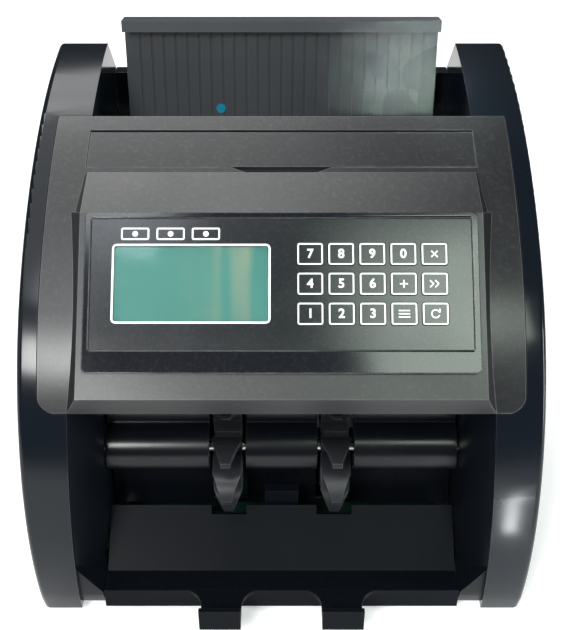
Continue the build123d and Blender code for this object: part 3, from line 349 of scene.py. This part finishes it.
def settled_dust():
    """A mask of faint dust on faces that look up."""
    group, start, end = new_group(
        "settled_dust", [("Amount", "NodeSocketFloat", 0.1)], [("Mask", "NodeSocketFloat")]
    )
    plain = node(group, "ShaderNodeNewGeometry")
    parts = node(group, "ShaderNodeSeparateXYZ")
    link(group, plain.outputs["Normal"], parts.inputs["Vector"])
    place = node(group, "ShaderNodeTexCoord")
    specks = node(group, "ShaderNodeTexNoise", Scale=420.0, Detail=5.0, Roughness=0.75)
    link(group, place.outputs["Object"], specks.inputs["Vector"])
    patch = node(group, "ShaderNodeMapRange")
    patch.inputs["From Min"].default_value = DUST_STARTS
    patch.inputs["From Max"].default_value = DUST_FULL
    link(group, specks.outputs["Fac"], patch.inputs["Value"])
    upward = node(group, "ShaderNodeMath", operation="MULTIPLY", use_clamp=True)
    link(group, parts.outputs["Z"], upward.inputs[0])
    link(group, patch.outputs["Result"], upward.inputs[1])
    scaled = node(group, "ShaderNodeMath", operation="MULTIPLY", use_clamp=True)
    link(group, upward.outputs["Value"], scaled.inputs[0])
    link(group, start.outputs["Amount"], scaled.inputs[1])
    link(group, scaled.outputs["Value"], end.inputs["Mask"])
    return group


GROUPS = {}


def shared(name):
    """A shader group, built the first time it is asked for."""
    makers = {"moulded_grain": moulded_grain, "edge_wear": edge_wear, "settled_dust": settled_dust}
    if name not in GROUPS:
        GROUPS[name] = makers[name]()
    return GROUPS[name]


def place_group(tree, name, **values):
    """Puts a shared group into a material with its own values."""
    made = tree.nodes.new("ShaderNodeGroup")
    made.node_tree = shared(name)
    for key, value in values.items():
        made.inputs[key.replace("_", " ")].default_value = value
    return made


def plastic(
    name, base, worn, rough, spread=0.06, grain=900.0, bump=0.02,
    stretch=(1.0, 1.0, 1.0), dust=0.05, wear=0.6, ior=1.46,
):
    """Moulded plastic: grain in its surface, uneven gloss, worn edges and a trace of dust."""
    material = bpy.data.materials.new(name)
    material.use_nodes = True
    tree = material.node_tree
    shader = tree.nodes["Principled BSDF"]
    shader.inputs["IOR"].default_value = ior
    texture = place_group(tree, "moulded_grain", Scale=grain, Stretch=stretch)
    rubbed = place_group(tree, "edge_wear")
    dusty = place_group(tree, "settled_dust", Amount=dust)
    lighter = node(tree, "ShaderNodeMix", data_type="RGBA")
    lighter.inputs["A"].default_value = (*base, 1.0)
    lighter.inputs["B"].default_value = (*worn, 1.0)
    share = node(tree, "ShaderNodeMath", operation="MULTIPLY")
    share.inputs[1].default_value = wear
    link(tree, rubbed.outputs["Mask"], share.inputs[0])
    link(tree, share.outputs["Value"], lighter.inputs["Factor"])
    speck = node(tree, "ShaderNodeMix", data_type="RGBA")
    speck.inputs["B"].default_value = DUST_COLOUR
    link(tree, dusty.outputs["Mask"], speck.inputs["Factor"])
    link(tree, lighter.outputs["Result"], speck.inputs["A"])
    link(tree, speck.outputs["Result"], shader.inputs["Base Color"])
    gloss = node(tree, "ShaderNodeMapRange")
    gloss.inputs["From Min"].default_value = GLOSS_FROM
    gloss.inputs["From Max"].default_value = GLOSS_TO
    gloss.inputs["To Min"].default_value = max(rough - spread, 0.02)
    gloss.inputs["To Max"].default_value = rough + spread
    link(tree, texture.outputs["Unevenness"], gloss.inputs["Value"])
    link(tree, gloss.outputs["Result"], shader.inputs["Roughness"])
    relief = node(tree, "ShaderNodeBump", Strength=bump, Distance=RELIEF_DEPTH)
    link(tree, texture.outputs["Height"], relief.inputs["Height"])
    link(tree, relief.outputs["Normal"], shader.inputs["Normal"])
    return material


def metal(name, base, rough, stretch=(1.0, 1.0, 1.0), grain=700.0, bump=0.05):
    """Bare or plated metal with fine tool marks."""
    material = bpy.data.materials.new(name)
    material.use_nodes = True
    tree = material.node_tree
    shader = tree.nodes["Principled BSDF"]
    shader.inputs["Metallic"].default_value = 1.0
    texture = place_group(tree, "moulded_grain", Scale=grain, Stretch=stretch)
    tone = node(tree, "ShaderNodeMix", data_type="RGBA")
    tone.inputs["A"].default_value = (*[0.8 * part for part in base], 1.0)
    tone.inputs["B"].default_value = (*base, 1.0)
    link(tree, texture.outputs["Unevenness"], tone.inputs["Factor"])
    link(tree, tone.outputs["Result"], shader.inputs["Base Color"])
    gloss = node(tree, "ShaderNodeMapRange")
    gloss.inputs["To Min"].default_value = rough * 0.7
    gloss.inputs["To Max"].default_value = rough * 1.3
    link(tree, texture.outputs["Height"], gloss.inputs["Value"])
    link(tree, gloss.outputs["Result"], shader.inputs["Roughness"])
    relief = node(tree, "ShaderNodeBump", Strength=bump, Distance=RELIEF_DEPTH)
    link(tree, texture.outputs["Height"], relief.inputs["Height"])
    link(tree, relief.outputs["Normal"], shader.inputs["Normal"])
    return material


def ink():
    """White printing ink, a little uneven, with a faint painted glow."""
    panel = settings("counter_panel")
    material = bpy.data.materials.new("white_ink")
    material.use_nodes = True
    tree = material.node_tree
    shader = tree.nodes["Principled BSDF"]
    texture = place_group(tree, "moulded_grain", Scale=1500.0)
    tone = node(tree, "ShaderNodeMix", data_type="RGBA")
    tone.inputs["A"].default_value = (*[0.86 * part for part in panel.ink], 1.0)
    tone.inputs["B"].default_value = (*panel.ink, 1.0)
    link(tree, texture.outputs["Height"], tone.inputs["Factor"])
    link(tree, tone.outputs["Result"], shader.inputs["Base Color"])
    shader.inputs["Roughness"].default_value = 0.5
    # painted light: the ink glows faintly in its own colour
    shader.inputs["Emission Color"].default_value = (*panel.ink, 1.0)
    shader.inputs["Emission Strength"].default_value = 0.15
    return material


MATERIALS = {}


def material(name):
    """A material, made the first time it is asked for."""
    covers = settings("counter_covers")
    panel = settings("counter_panel")
    works = settings("counter_works")
    makers = {
        "polished_shell": lambda: plastic(
            "polished_shell", covers.shell, (0.10, 0.11, 0.12), covers.shell_gloss, 0.05, 60.0, 0.02,
            dust=0.01, wear=0.3, ior=1.30,
        ),
        "satin_top": lambda: plastic(
            "satin_top", covers.top, (0.20, 0.20, 0.21), covers.top_gloss, 0.05, 1400.0, 0.05,
            stretch=(0.25, 1.0, 1.0), dust=0.10, wear=0.7,
        ),
        "bezel": lambda: plastic(
            "bezel", panel.bezel, (0.45, 0.46, 0.46), 0.11, 0.03, 1200.0, 0.02, wear=0.9, ior=1.38
        ),
        "overlay": lambda: plastic(
            "overlay", panel.face, (0.10, 0.10, 0.11), 0.20, 0.04, 1800.0, 0.03, wear=0.2, ior=1.42
        ),
        "dark_plastic": lambda: plastic(
            "dark_plastic", works.dark, (0.03, 0.033, 0.036), 0.30, 0.07, 700.0, 0.04, dust=0.01, ior=1.21
        ),
        "tray_plastic": lambda: plastic(
            "tray_plastic", works.dark, (0.02, 0.022, 0.024), 0.34, 0.07, 700.0, 0.04, dust=0.01, ior=1.12
        ),
        "guard_plastic": lambda: plastic(
            "guard_plastic", works.dark, (0.03, 0.033, 0.036), 0.24, 0.05, 700.0, 0.03, dust=0.01, ior=1.34
        ),
        "wheel_plastic": lambda: plastic(
            "wheel_plastic", works.wheel, (0.12, 0.12, 0.13), 0.28, 0.08, 500.0, 0.05, dust=0.02, ior=1.38
        ),
        "ribbed_plastic": lambda: plastic(
            "ribbed_plastic", works.ribbed, (0.10, 0.11, 0.11), 0.30, 0.06, 900.0, 0.03
        ),
        "lens": lambda: plastic("lens", works.lens, works.lens, 0.12, 0.03, 300.0, 0.01, dust=0.0, wear=0.0),
        "rubber": lambda: plastic("rubber", works.rubber, (0.08, 0.08, 0.08), 0.72, 0.08, 1100.0, 0.25),
        "steel": lambda: metal("steel", works.steel, 0.26, (0.1, 1.0, 1.0)),
        "sheet_metal": lambda: metal("sheet_metal", works.sheet, 0.40, grain=220.0),
        "bronze": lambda: metal("bronze", works.bronze, 0.35),
        "circuit_board": lambda: plastic(
            "circuit_board", works.board, (0.1, 0.2, 0.1), 0.35, 0.08, 400.0, 0.06
        ),
        "white_ink": ink,
    }
    if name not in MATERIALS:
        MATERIALS[name] = makers[name]()
    return MATERIALS[name]


# ---- display -------------------------------------------------------------------------------
# the painted reflection across the display: where it starts, the turn and scale of its streaks, and how dark and
# pale they run
PAINTED_REFLECTION_STARTS = 0.35      # share of the display's width
PAINTED_REFLECTION_TURN = radians(62.0)
PAINTED_REFLECTION_SCALE = (90.0, 12.0, 9.0)
PAINTED_REFLECTION_DARK = 0.42
PAINTED_REFLECTION_PALE = 0.62
# painted light: the unlit display's face glows faintly in its own colour
PAINTED_SCREEN_GLOW = 0.10


def screen_material():
    """The display's face: teal, with a painted reflection in pale slanting streaks towards one side, and a faint
    painted glow.
    """
    panel = settings("counter_panel")
    made = bpy.data.materials.new("display_face")
    made.use_nodes = True
    tree = made.node_tree
    shader = tree.nodes["Principled BSDF"]
    shader.inputs["Roughness"].default_value = 0.35
    place = node(tree, "ShaderNodeTexCoord")
    parts = node(tree, "ShaderNodeSeparateXYZ")
    link(tree, place.outputs["Object"], parts.inputs["Vector"])
    low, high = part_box("display_window")
    across = node(tree, "ShaderNodeMapRange", interpolation_type="SMOOTHSTEP")
    across.inputs["From Min"].default_value = low.x + PAINTED_REFLECTION_STARTS * (high.x - low.x)
    across.inputs["From Max"].default_value = high.x
    link(tree, parts.outputs["X"], across.inputs["Value"])
    slant = node(tree, "ShaderNodeMapping")
    slant.inputs["Rotation"].default_value = (0.0, PAINTED_REFLECTION_TURN, 0.0)
    slant.inputs["Scale"].default_value = PAINTED_REFLECTION_SCALE
    link(tree, place.outputs["Object"], slant.inputs["Vector"])
    bands = node(tree, "ShaderNodeTexNoise", Scale=1.0, Detail=1.0)
    link(tree, slant.outputs["Vector"], bands.inputs["Vector"])
    shaped = node(tree, "ShaderNodeMapRange")
    shaped.inputs["From Min"].default_value = PAINTED_REFLECTION_DARK
    shaped.inputs["From Max"].default_value = PAINTED_REFLECTION_PALE
    link(tree, bands.outputs["Fac"], shaped.inputs["Value"])
    product = node(tree, "ShaderNodeMath", operation="MULTIPLY")
    link(tree, across.outputs["Result"], product.inputs[0])
    link(tree, shaped.outputs["Result"], product.inputs[1])
    tone = node(tree, "ShaderNodeMix", data_type="RGBA")
    tone.inputs["A"].default_value = (*panel.screen, 1.0)
    tone.inputs["B"].default_value = (*panel.painted_reflection, 1.0)
    link(tree, product.outputs["Value"], tone.inputs["Factor"])
    link(tree, tone.outputs["Result"], shader.inputs["Base Color"])
    # the face and its painted reflection glow faintly: painted light, not a lamp
    link(tree, tone.outputs["Result"], shader.inputs["Emission Color"])
    shader.inputs["Emission Strength"].default_value = PAINTED_SCREEN_GLOW
    return made


def window_material():
    """Clear window."""
    made = bpy.data.materials.new("clear_window")
    made.use_nodes = True
    shader = made.node_tree.nodes["Principled BSDF"]
    shader.inputs["Base Color"].default_value = (0.95, 0.98, 0.97, 1.0)
    shader.inputs["Transmission Weight"].default_value = 1.0
    shader.inputs["Roughness"].default_value = 0.06
    shader.inputs["IOR"].default_value = 1.18
    return made


# ---- operators -----------------------------------------------------------------------------
class COUNTER_OT_shells(bpy.types.Operator):
    """Finish the polished side covers and the rear cover"""

    bl_idname = "counter.shells"
    bl_label = "Side and rear covers"

    def execute(self, context):
        covers = settings("counter_covers")
        for node_name in ("right_side_cover", "left_side_cover"):
            dressed(node_name, material("polished_shell"), covers.edge)
        dressed("rear_cover", material("polished_shell"), covers.edge / 2, 2, joined_faces=False)
        return {"FINISHED"}


class COUNTER_OT_top(bpy.types.Operator):
    """Finish the top cover with its console, and the access lid"""

    bl_idname = "counter.top"
    bl_label = "Top cover and lid"

    def execute(self, context):
        covers = settings("counter_covers")
        dressed("top_cover", material("satin_top"), covers.soft_edge, 4, 24.0)
        dressed("access_lid", material("satin_top"), covers.edge)
        return {"FINISHED"}


class COUNTER_OT_pocket(bpy.types.Operator):
    """Finish the stacker pocket, its tray and guide, and the bladed wheels"""

    bl_idname = "counter.pocket"
    bl_label = "Stacker pocket"

    def execute(self, context):
        works = settings("counter_works")
        for node_name in ("right_pocket_wall", "left_pocket_wall"):
            dressed(node_name, material("dark_plastic"), 2 * works.fine_edge)
        dressed("stacker_tray", material("tray_plastic"), 2 * works.fine_edge)
        dressed("stacker_guide", material("guard_plastic"), 2 * works.fine_edge)
        dressed("stacker_wheels", material("wheel_plastic"), works.fine_edge, 2, 40.0)
        return {"FINISHED"}


class COUNTER_OT_hopper(bpy.types.Operator):
    """Finish the hopper: its floor, the ribbed support plate, the brackets and the lens"""

    bl_idname = "counter.hopper"
    bl_label = "Hopper"

    def execute(self, context):
        works = settings("counter_works")
        dressed("support_plate", material("ribbed_plastic"), works.fine_edge / 2, 2, 40.0, joined_faces=False)
        dressed("hopper_floor", material("dark_plastic"), works.fine_edge / 2, 2, joined_faces=False)
        paint(["plate_brackets"], material("dark_plastic"))
        paint(["hopper_lens"], material("lens"))
        return {"FINISHED"}


class COUNTER_OT_panel(bpy.types.Operator):
    """Finish the bezel and the overlay, and print the line round the display and the note sign"""

    bl_idname = "counter.panel"
    bl_label = "Panel"

    def execute(self, context):
        works = settings("counter_works")
        panel = settings("counter_panel")
        dressed("panel_bezel", material("bezel"), 2.2 * works.fine_edge)
        dressed("keypad_overlay", material("overlay"), 0.5 * works.fine_edge, 2)
        left, right, foot, head = panel_extent("display_window")[:4]
        level = panel_extent("keypad_overlay")[4]
        line = panel.window_line
        room = BORDER_ROOM * line
        shape = bmesh.new()
        rounded_ring(
            shape, right - left + room, head - foot + room, BORDER_CORNER * line, line, panel.print_height
        )
        shape.transform(panel_frame((left + right) / 2, (foot + head) / 2, level))
        mesh = mesh_from("window_border", shape)
        add_object("window_border", mesh, material("white_ink"), "machine")
        note_sign(left, head, level)
        return {"FINISHED"}


# the window's border, in widths of its line
BORDER_ROOM = 2.6
BORDER_CORNER = 2.4
# the sign above the display: outlines of notes, each with a round in its middle
SIGN_NOTES = 3
NOTE_WIDTH = 0.0140
NOTE_HEIGHT = 0.0062
NOTE_CORNER = 0.0010
NOTE_LINE = 0.0008
NOTE_PITCH = 0.0176
ROUND_RADIUS = 0.0014
ROUND_SIDES = 20
SIGN_INSET = 0.003
SIGN_RISE = 0.0064


def note_sign(left, head, level):
    """A plain sign above the display: three banknotes in a row."""
    rise = settings("counter_panel").print_height
    shape = bmesh.new()
    for index in range(SIGN_NOTES):
        part = bmesh.new()
        rounded_ring(part, NOTE_WIDTH, NOTE_HEIGHT, NOTE_CORNER, NOTE_LINE, rise)
        bmesh.ops.create_circle(part, cap_ends=True, segments=ROUND_SIDES, radius=ROUND_RADIUS)
        rounds = [face for face in part.faces if len(face.verts) == ROUND_SIDES]
        made = bmesh.ops.extrude_face_region(part, geom=rounds)
        raised = [item for item in made["geom"] if isinstance(item, bmesh.types.BMVert)]
        bmesh.ops.translate(part, vec=(0, 0, rise), verts=raised)
        bmesh.ops.translate(part, vec=(NOTE_WIDTH / 2 + index * NOTE_PITCH, 0, 0), verts=part.verts)
        mesh = mesh_from("note_sign_part", part)
        shape.from_mesh(mesh)
        bpy.data.meshes.remove(mesh)
    bmesh.ops.recalc_face_normals(shape, faces=shape.faces)
    shape.transform(panel_frame(left + SIGN_INSET, head + SIGN_RISE, level))
    mesh = mesh_from("note_sign", shape)
    add_object("note_sign", mesh, material("white_ink"), "machine")


FACE_MARGIN = 0.001
FACE_CORNER = 0.0012
FACE_THICKNESS = 0.00025
FACE_DEPTH = 0.0013


class COUNTER_OT_display(bpy.types.Operator):
    """Add the display's face behind its clear window"""

    bl_idname = "counter.display"
    bl_label = "Display"

    def execute(self, context):
        left, right, foot, head, face = panel_extent("display_window")
        shape = bmesh.new()
        rounded_plate(shape, right - left + FACE_MARGIN, head - foot + FACE_MARGIN, FACE_CORNER)
        lift(shape, FACE_THICKNESS)
        shape.transform(panel_frame((left + right) / 2, (foot + head) / 2, face - FACE_DEPTH))
        add_object("display_face", mesh_from("display_face", shape), screen_material(), "machine")
        paint(["display_window"], window_material())
        return {"FINISHED"}


# a key's outline, in widths of its line
OUTLINE_INSET = 0.5
OUTLINE_CORNER = 1.6
# the digits
CAP_SHARE = 0.72
DIGIT_BOLD = 0.00016
# the signs of the keys that have no digit
SIGN_LINE = 0.00065
PLUS_SPAN = 0.0040
CROSS_SPAN = 0.0044
CHEVRON_ARM = 0.0026
CHEVRON_PLACES = (-0.0016, 0.0010)
CHEVRON_RISE = 0.00085
BAR_LENGTH = 0.0056
BAR_PLACES = (-0.0016, 0.0, 0.0016)
LOOP_RADIUS = 0.0019
LOOP_STEPS = 9
LOOP_START = 40
LOOP_SWEEP = 280
LOOP_BAR = 0.0015
LOOP_TIP = (0.0021, 0.0016)
LOOP_TIP_LENGTH = 0.0019


class COUNTER_OT_keys(bpy.types.Operator):
    """Finish the keys and print their outlines, digits and signs"""

    bl_idname = "counter.keys"
    bl_label = "Keys"

    def execute(self, context):
        works = settings("counter_works")
        panel = settings("counter_panel")
        for key in KEYS:
            dressed(key, material("overlay"), 0.8 * works.fine_edge, 2)
            left, right, foot, head, level = panel_extent(key)
            shape = bmesh.new()
            line = panel.key_line
            inset = OUTLINE_INSET * line
            width, height = right - left - inset, head - foot - inset
            rounded_ring(shape, width, height, OUTLINE_CORNER * line, line, panel.print_height)
            label = key.split("_")[1]
            if label.isdigit():
                add_digit(shape, label)
            else:
                add_sign(shape, label)
            shape.transform(panel_frame((left + right) / 2, (foot + head) / 2, level))
            mesh = mesh_from(f"print_{label}", shape)
            add_object(f"print_{label}", mesh, material("white_ink"), BODY_OF[key])
        return {"FINISHED"}


def add_digit(shape, label):
    """Adds a digit, made from the built-in font, to the middle of flat work."""
    panel = settings("counter_panel")
    curve = bpy.data.curves.new("digit", "FONT")
    curve.body = label
    curve.size = panel.digit_height / CAP_SHARE
    curve.offset = DIGIT_BOLD
    curve.extrude = panel.print_height / 2
    curve.align_x = "CENTER"
    curve.align_y = "CENTER"
    text = bpy.data.objects.new("digit", curve)
    bpy.context.scene.collection.objects.link(text)
    bpy.context.view_layer.update()
    mesh = bpy.data.meshes.new_from_object(text)
    bpy.data.objects.remove(text)
    bpy.data.curves.remove(curve)
    mesh.transform(Matrix.Translation((0, 0, panel.print_height / 2)))
    shape.from_mesh(mesh)
    bpy.data.meshes.remove(mesh)


def add_bar(shape, middle, size, turn=0.0):
    """Adds one raised bar to flat work."""
    panel = settings("counter_panel")
    made = bmesh.ops.create_cube(shape, size=1.0)
    bmesh.ops.scale(shape, vec=(size[0], size[1], panel.print_height), verts=made["verts"])
    bmesh.ops.rotate(shape, cent=(0, 0, 0), matrix=Matrix.Rotation(turn, 3, "Z"), verts=made["verts"])
    bmesh.ops.translate(shape, vec=(middle[0], middle[1], panel.print_height / 2), verts=made["verts"])


def add_sign(shape, label):
    """Adds a plain sign for a key that has no digit."""
    slope = radians(45)
    if label == "add":
        add_bar(shape, (0, 0), (PLUS_SPAN, SIGN_LINE))
        add_bar(shape, (0, 0), (SIGN_LINE, PLUS_SPAN))
    elif label == "clear":
        add_bar(shape, (0, 0), (CROSS_SPAN, SIGN_LINE), slope)
        add_bar(shape, (0, 0), (CROSS_SPAN, SIGN_LINE), -slope)
    elif label == "speed":
        for x in CHEVRON_PLACES:
            add_bar(shape, (x, CHEVRON_RISE), (CHEVRON_ARM, SIGN_LINE), -slope)
            add_bar(shape, (x, -CHEVRON_RISE), (CHEVRON_ARM, SIGN_LINE), slope)
    elif label == "batch":
        for y in BAR_PLACES:
            add_bar(shape, (0, y), (BAR_LENGTH, SIGN_LINE))
    elif label == "reset":
        for index in range(LOOP_STEPS):
            angle = radians(LOOP_START + index * LOOP_SWEEP / (LOOP_STEPS - 1))
            middle = (LOOP_RADIUS * cos(angle), LOOP_RADIUS * sin(angle))
            add_bar(shape, middle, (LOOP_BAR, SIGN_LINE), angle + pi / 2)
        add_bar(shape, LOOP_TIP, (LOOP_TIP_LENGTH, SIGN_LINE), pi / 2)


class COUNTER_OT_works(bpy.types.Operator):
    """Finish what is inside and underneath: rollers, shafts, frame, boards, motor and mains inlet"""

    bl_idname = "counter.works"
    bl_label = "Inner works"

    def execute(self, context):
        finishes = {
            "rubber": (
                "rubber_feet", "transport_rollers", "feed_rollers", "pick_rollers",
                "retard_roller", "pinch_rollers",
            ),
            "steel": (
                "cover_screws", "tie_rods", "transport_shaft", "feed_shaft", "pick_shaft", "stacker_shaft",
                "main_motor", "motor_pulley",
            ),
            "sheet_metal": (
                "base_pan", "right_frame_plate", "left_frame_plate", "separator_bracket", "power_supply"
            ),
            "bronze": ("shaft_bushes",),
            "circuit_board": ("control_board", "main_board"),
            "dark_plastic": (
                "note_guides", "note_sensors", "power_inlet", "power_rocker", "gap_knob", "drive_belts"
            ),
        }
        for finish, nodes in finishes.items():
            paint(nodes, material(finish))
        return {"FINISHED"}


class COUNTER_OT_stage(bpy.types.Operator):
    """Lay the floor and set the lights and the camera"""

    bl_idname = "counter.stage"
    bl_label = "Stage"

    def execute(self, context):
        stage = settings("counter_stage")
        scene = context.scene
        shape = bmesh.new()
        bmesh.ops.create_grid(shape, x_segments=1, y_segments=1, size=FLOOR_HALF)
        floor = bpy.data.objects.new("floor", mesh_from("floor", shape))
        scene.collection.objects.link(floor)
        finish = bpy.data.materials.new("floor")
        finish.use_nodes = True
        shader = finish.node_tree.nodes["Principled BSDF"]
        shader.inputs["Base Color"].default_value = (*stage.floor, 1.0)
        shader.inputs["Roughness"].default_value = 0.9
        shader.inputs["Emission Color"].default_value = (*stage.floor, 1.0)
        shader.inputs["Emission Strength"].default_value = stage.floor_glow
        floor.data.materials.append(finish)
        world = bpy.data.worlds.new("surround")
        world.use_nodes = True
        world.node_tree.nodes["Background"].inputs["Color"].default_value = (1.0, 1.0, 1.0, 1.0)
        world.node_tree.nodes["Background"].inputs["Strength"].default_value = stage.sky
        scene.world = world
        scene.view_settings.view_transform = "Standard"
        for light in LIGHTS:
            add_light(*light)
        add_light(*HOPPER_LIGHT, spread=HOPPER_SPREAD)
        camera = bpy.data.cameras.new("camera")
        camera.lens = stage.focal
        camera.sensor_width = 36.0
        camera.clip_start = 0.01
        view = bpy.data.objects.new("camera", camera)
        view.location = (0.0, -stage.camera_back, stage.camera_height)
        view.rotation_euler = (pi / 2 - stage.pitch, 0.0, 0.0)
        scene.collection.objects.link(view)
        scene.camera = view
        return {"FINISHED"}


FLOOR_HALF = 6.0
# name, place, aim, width and height, brightness of its face, tint
LIGHTS = (
    ("ceiling", (-0.82, 0.05, 1.60), (-0.82, 0.05, 0.0), (1.8, 1.8), 2.4, (1.0, 1.0, 1.0)),
    ("rear_box", (-0.30, 0.98, 1.40), (0.0, 0.0, 0.2), (1.3, 0.45), 6.5, (1.0, 1.0, 1.0)),
    ("left_window", (-0.43, -1.05, 0.94), (-0.1, -0.08, 0.15), (0.34, 0.30), 42.0, (1.0, 1.0, 1.0)),
    ("upper_left", (-0.30, -0.60, 1.25), (-0.05, -0.06, 0.2), (0.26, 0.24), 11.0, (0.88, 0.93, 1.0)),
    ("upper_right", (0.29, -0.82, 1.10), (0.05, -0.06, 0.2), (0.30, 0.34), 13.0, (0.86, 1.0, 0.88)),
    ("right_strip", (1.30, -0.50, 0.35), (0.1, 0.0, 0.1), (0.15, 0.80), 34.0, (0.95, 0.98, 1.0)),
    ("floor_strip", (0.153, -0.228, 0.014), (0.127, -0.12, 0.06), (0.012, 0.09), 45.0, (0.95, 0.98, 1.0)),
    ("left_strip", (-1.30, -0.50, 0.50), (-0.1, 0.0, 0.1), (0.12, 0.80), 4.0, (0.92, 0.97, 1.0)),
)
# a narrow light on the right end of the hopper's plate
HOPPER_LIGHT = (
    "hopper_patch", (0.22, -0.62, 0.50), (0.080, 0.10, 0.232), (0.05, 0.05), 6.0, (0.86, 1.0, 0.90)
)
HOPPER_SPREAD = radians(6)


def add_light(name, place, target, size, brightness, tint, spread=pi):
    """A rectangular soft light that faces a point, itself unseen; its power follows from its face."""
    lamp = bpy.data.lights.new(name, "AREA")
    lamp.shape = "RECTANGLE"
    lamp.size, lamp.size_y = size
    lamp.energy = brightness * pi * size[0] * size[1]
    lamp.color = tint
    lamp.spread = spread
    holder = bpy.data.objects.new(name, lamp)
    holder.location = place
    aim = Vector(target) - Vector(place)
    holder.rotation_euler = aim.to_track_quat("-Z", "Y").to_euler()
    holder.visible_camera = False
    bpy.context.scene.collection.objects.link(holder)


class COUNTER_PT_sidebar(bpy.types.Panel):
    """Lists the pieces of the machine"""

    bl_idname = "COUNTER_PT_sidebar"
    bl_label = "Note counter"
    bl_space_type = "VIEW_3D"
    bl_region_type = "UI"
    bl_category = "Note counter"

    def draw(self, context):
        for operator in OPERATORS:
            self.layout.operator(operator.bl_idname)
        for group in ("counter_covers", "counter_panel", "counter_works", "counter_stage"):
            box = self.layout.box()
            for name in getattr(context.scene, group).__annotations__:
                box.prop(getattr(context.scene, group), name)


OPERATORS = (
    COUNTER_OT_stage,
    COUNTER_OT_shells,
    COUNTER_OT_top,
    COUNTER_OT_pocket,
    COUNTER_OT_hopper,
    COUNTER_OT_panel,
    COUNTER_OT_display,
    COUNTER_OT_keys,
    COUNTER_OT_works,
)


def register():
    """Registers the settings, the operators and the panel."""
    for item in (*SETTINGS, *OPERATORS, COUNTER_PT_sidebar):
        bpy.utils.register_class(item)
    scene_type = bpy.types.Scene
    scene_type.counter_covers = bpy.props.PointerProperty(type=CoverSettings)
    scene_type.counter_panel = bpy.props.PointerProperty(type=PanelSettings)
    scene_type.counter_works = bpy.props.PointerProperty(type=WorksSettings)
    scene_type.counter_stage = bpy.props.PointerProperty(type=StageSettings)


def unregister():
    """Takes them away again."""
    for name in ("counter_covers", "counter_panel", "counter_works", "counter_stage"):
        delattr(bpy.types.Scene, name)
    for item in reversed((*SETTINGS, *OPERATORS, COUNTER_PT_sidebar)):
        bpy.utils.unregister_class(item)


def main():
    """Builds every piece in order."""
    register()
    for operator in OPERATORS:
        group, name = operator.bl_idname.split(".")
        getattr(getattr(bpy.ops, group), name)()
    bpy.context.view_layer.update()


if __name__ == "__main__":
    main()
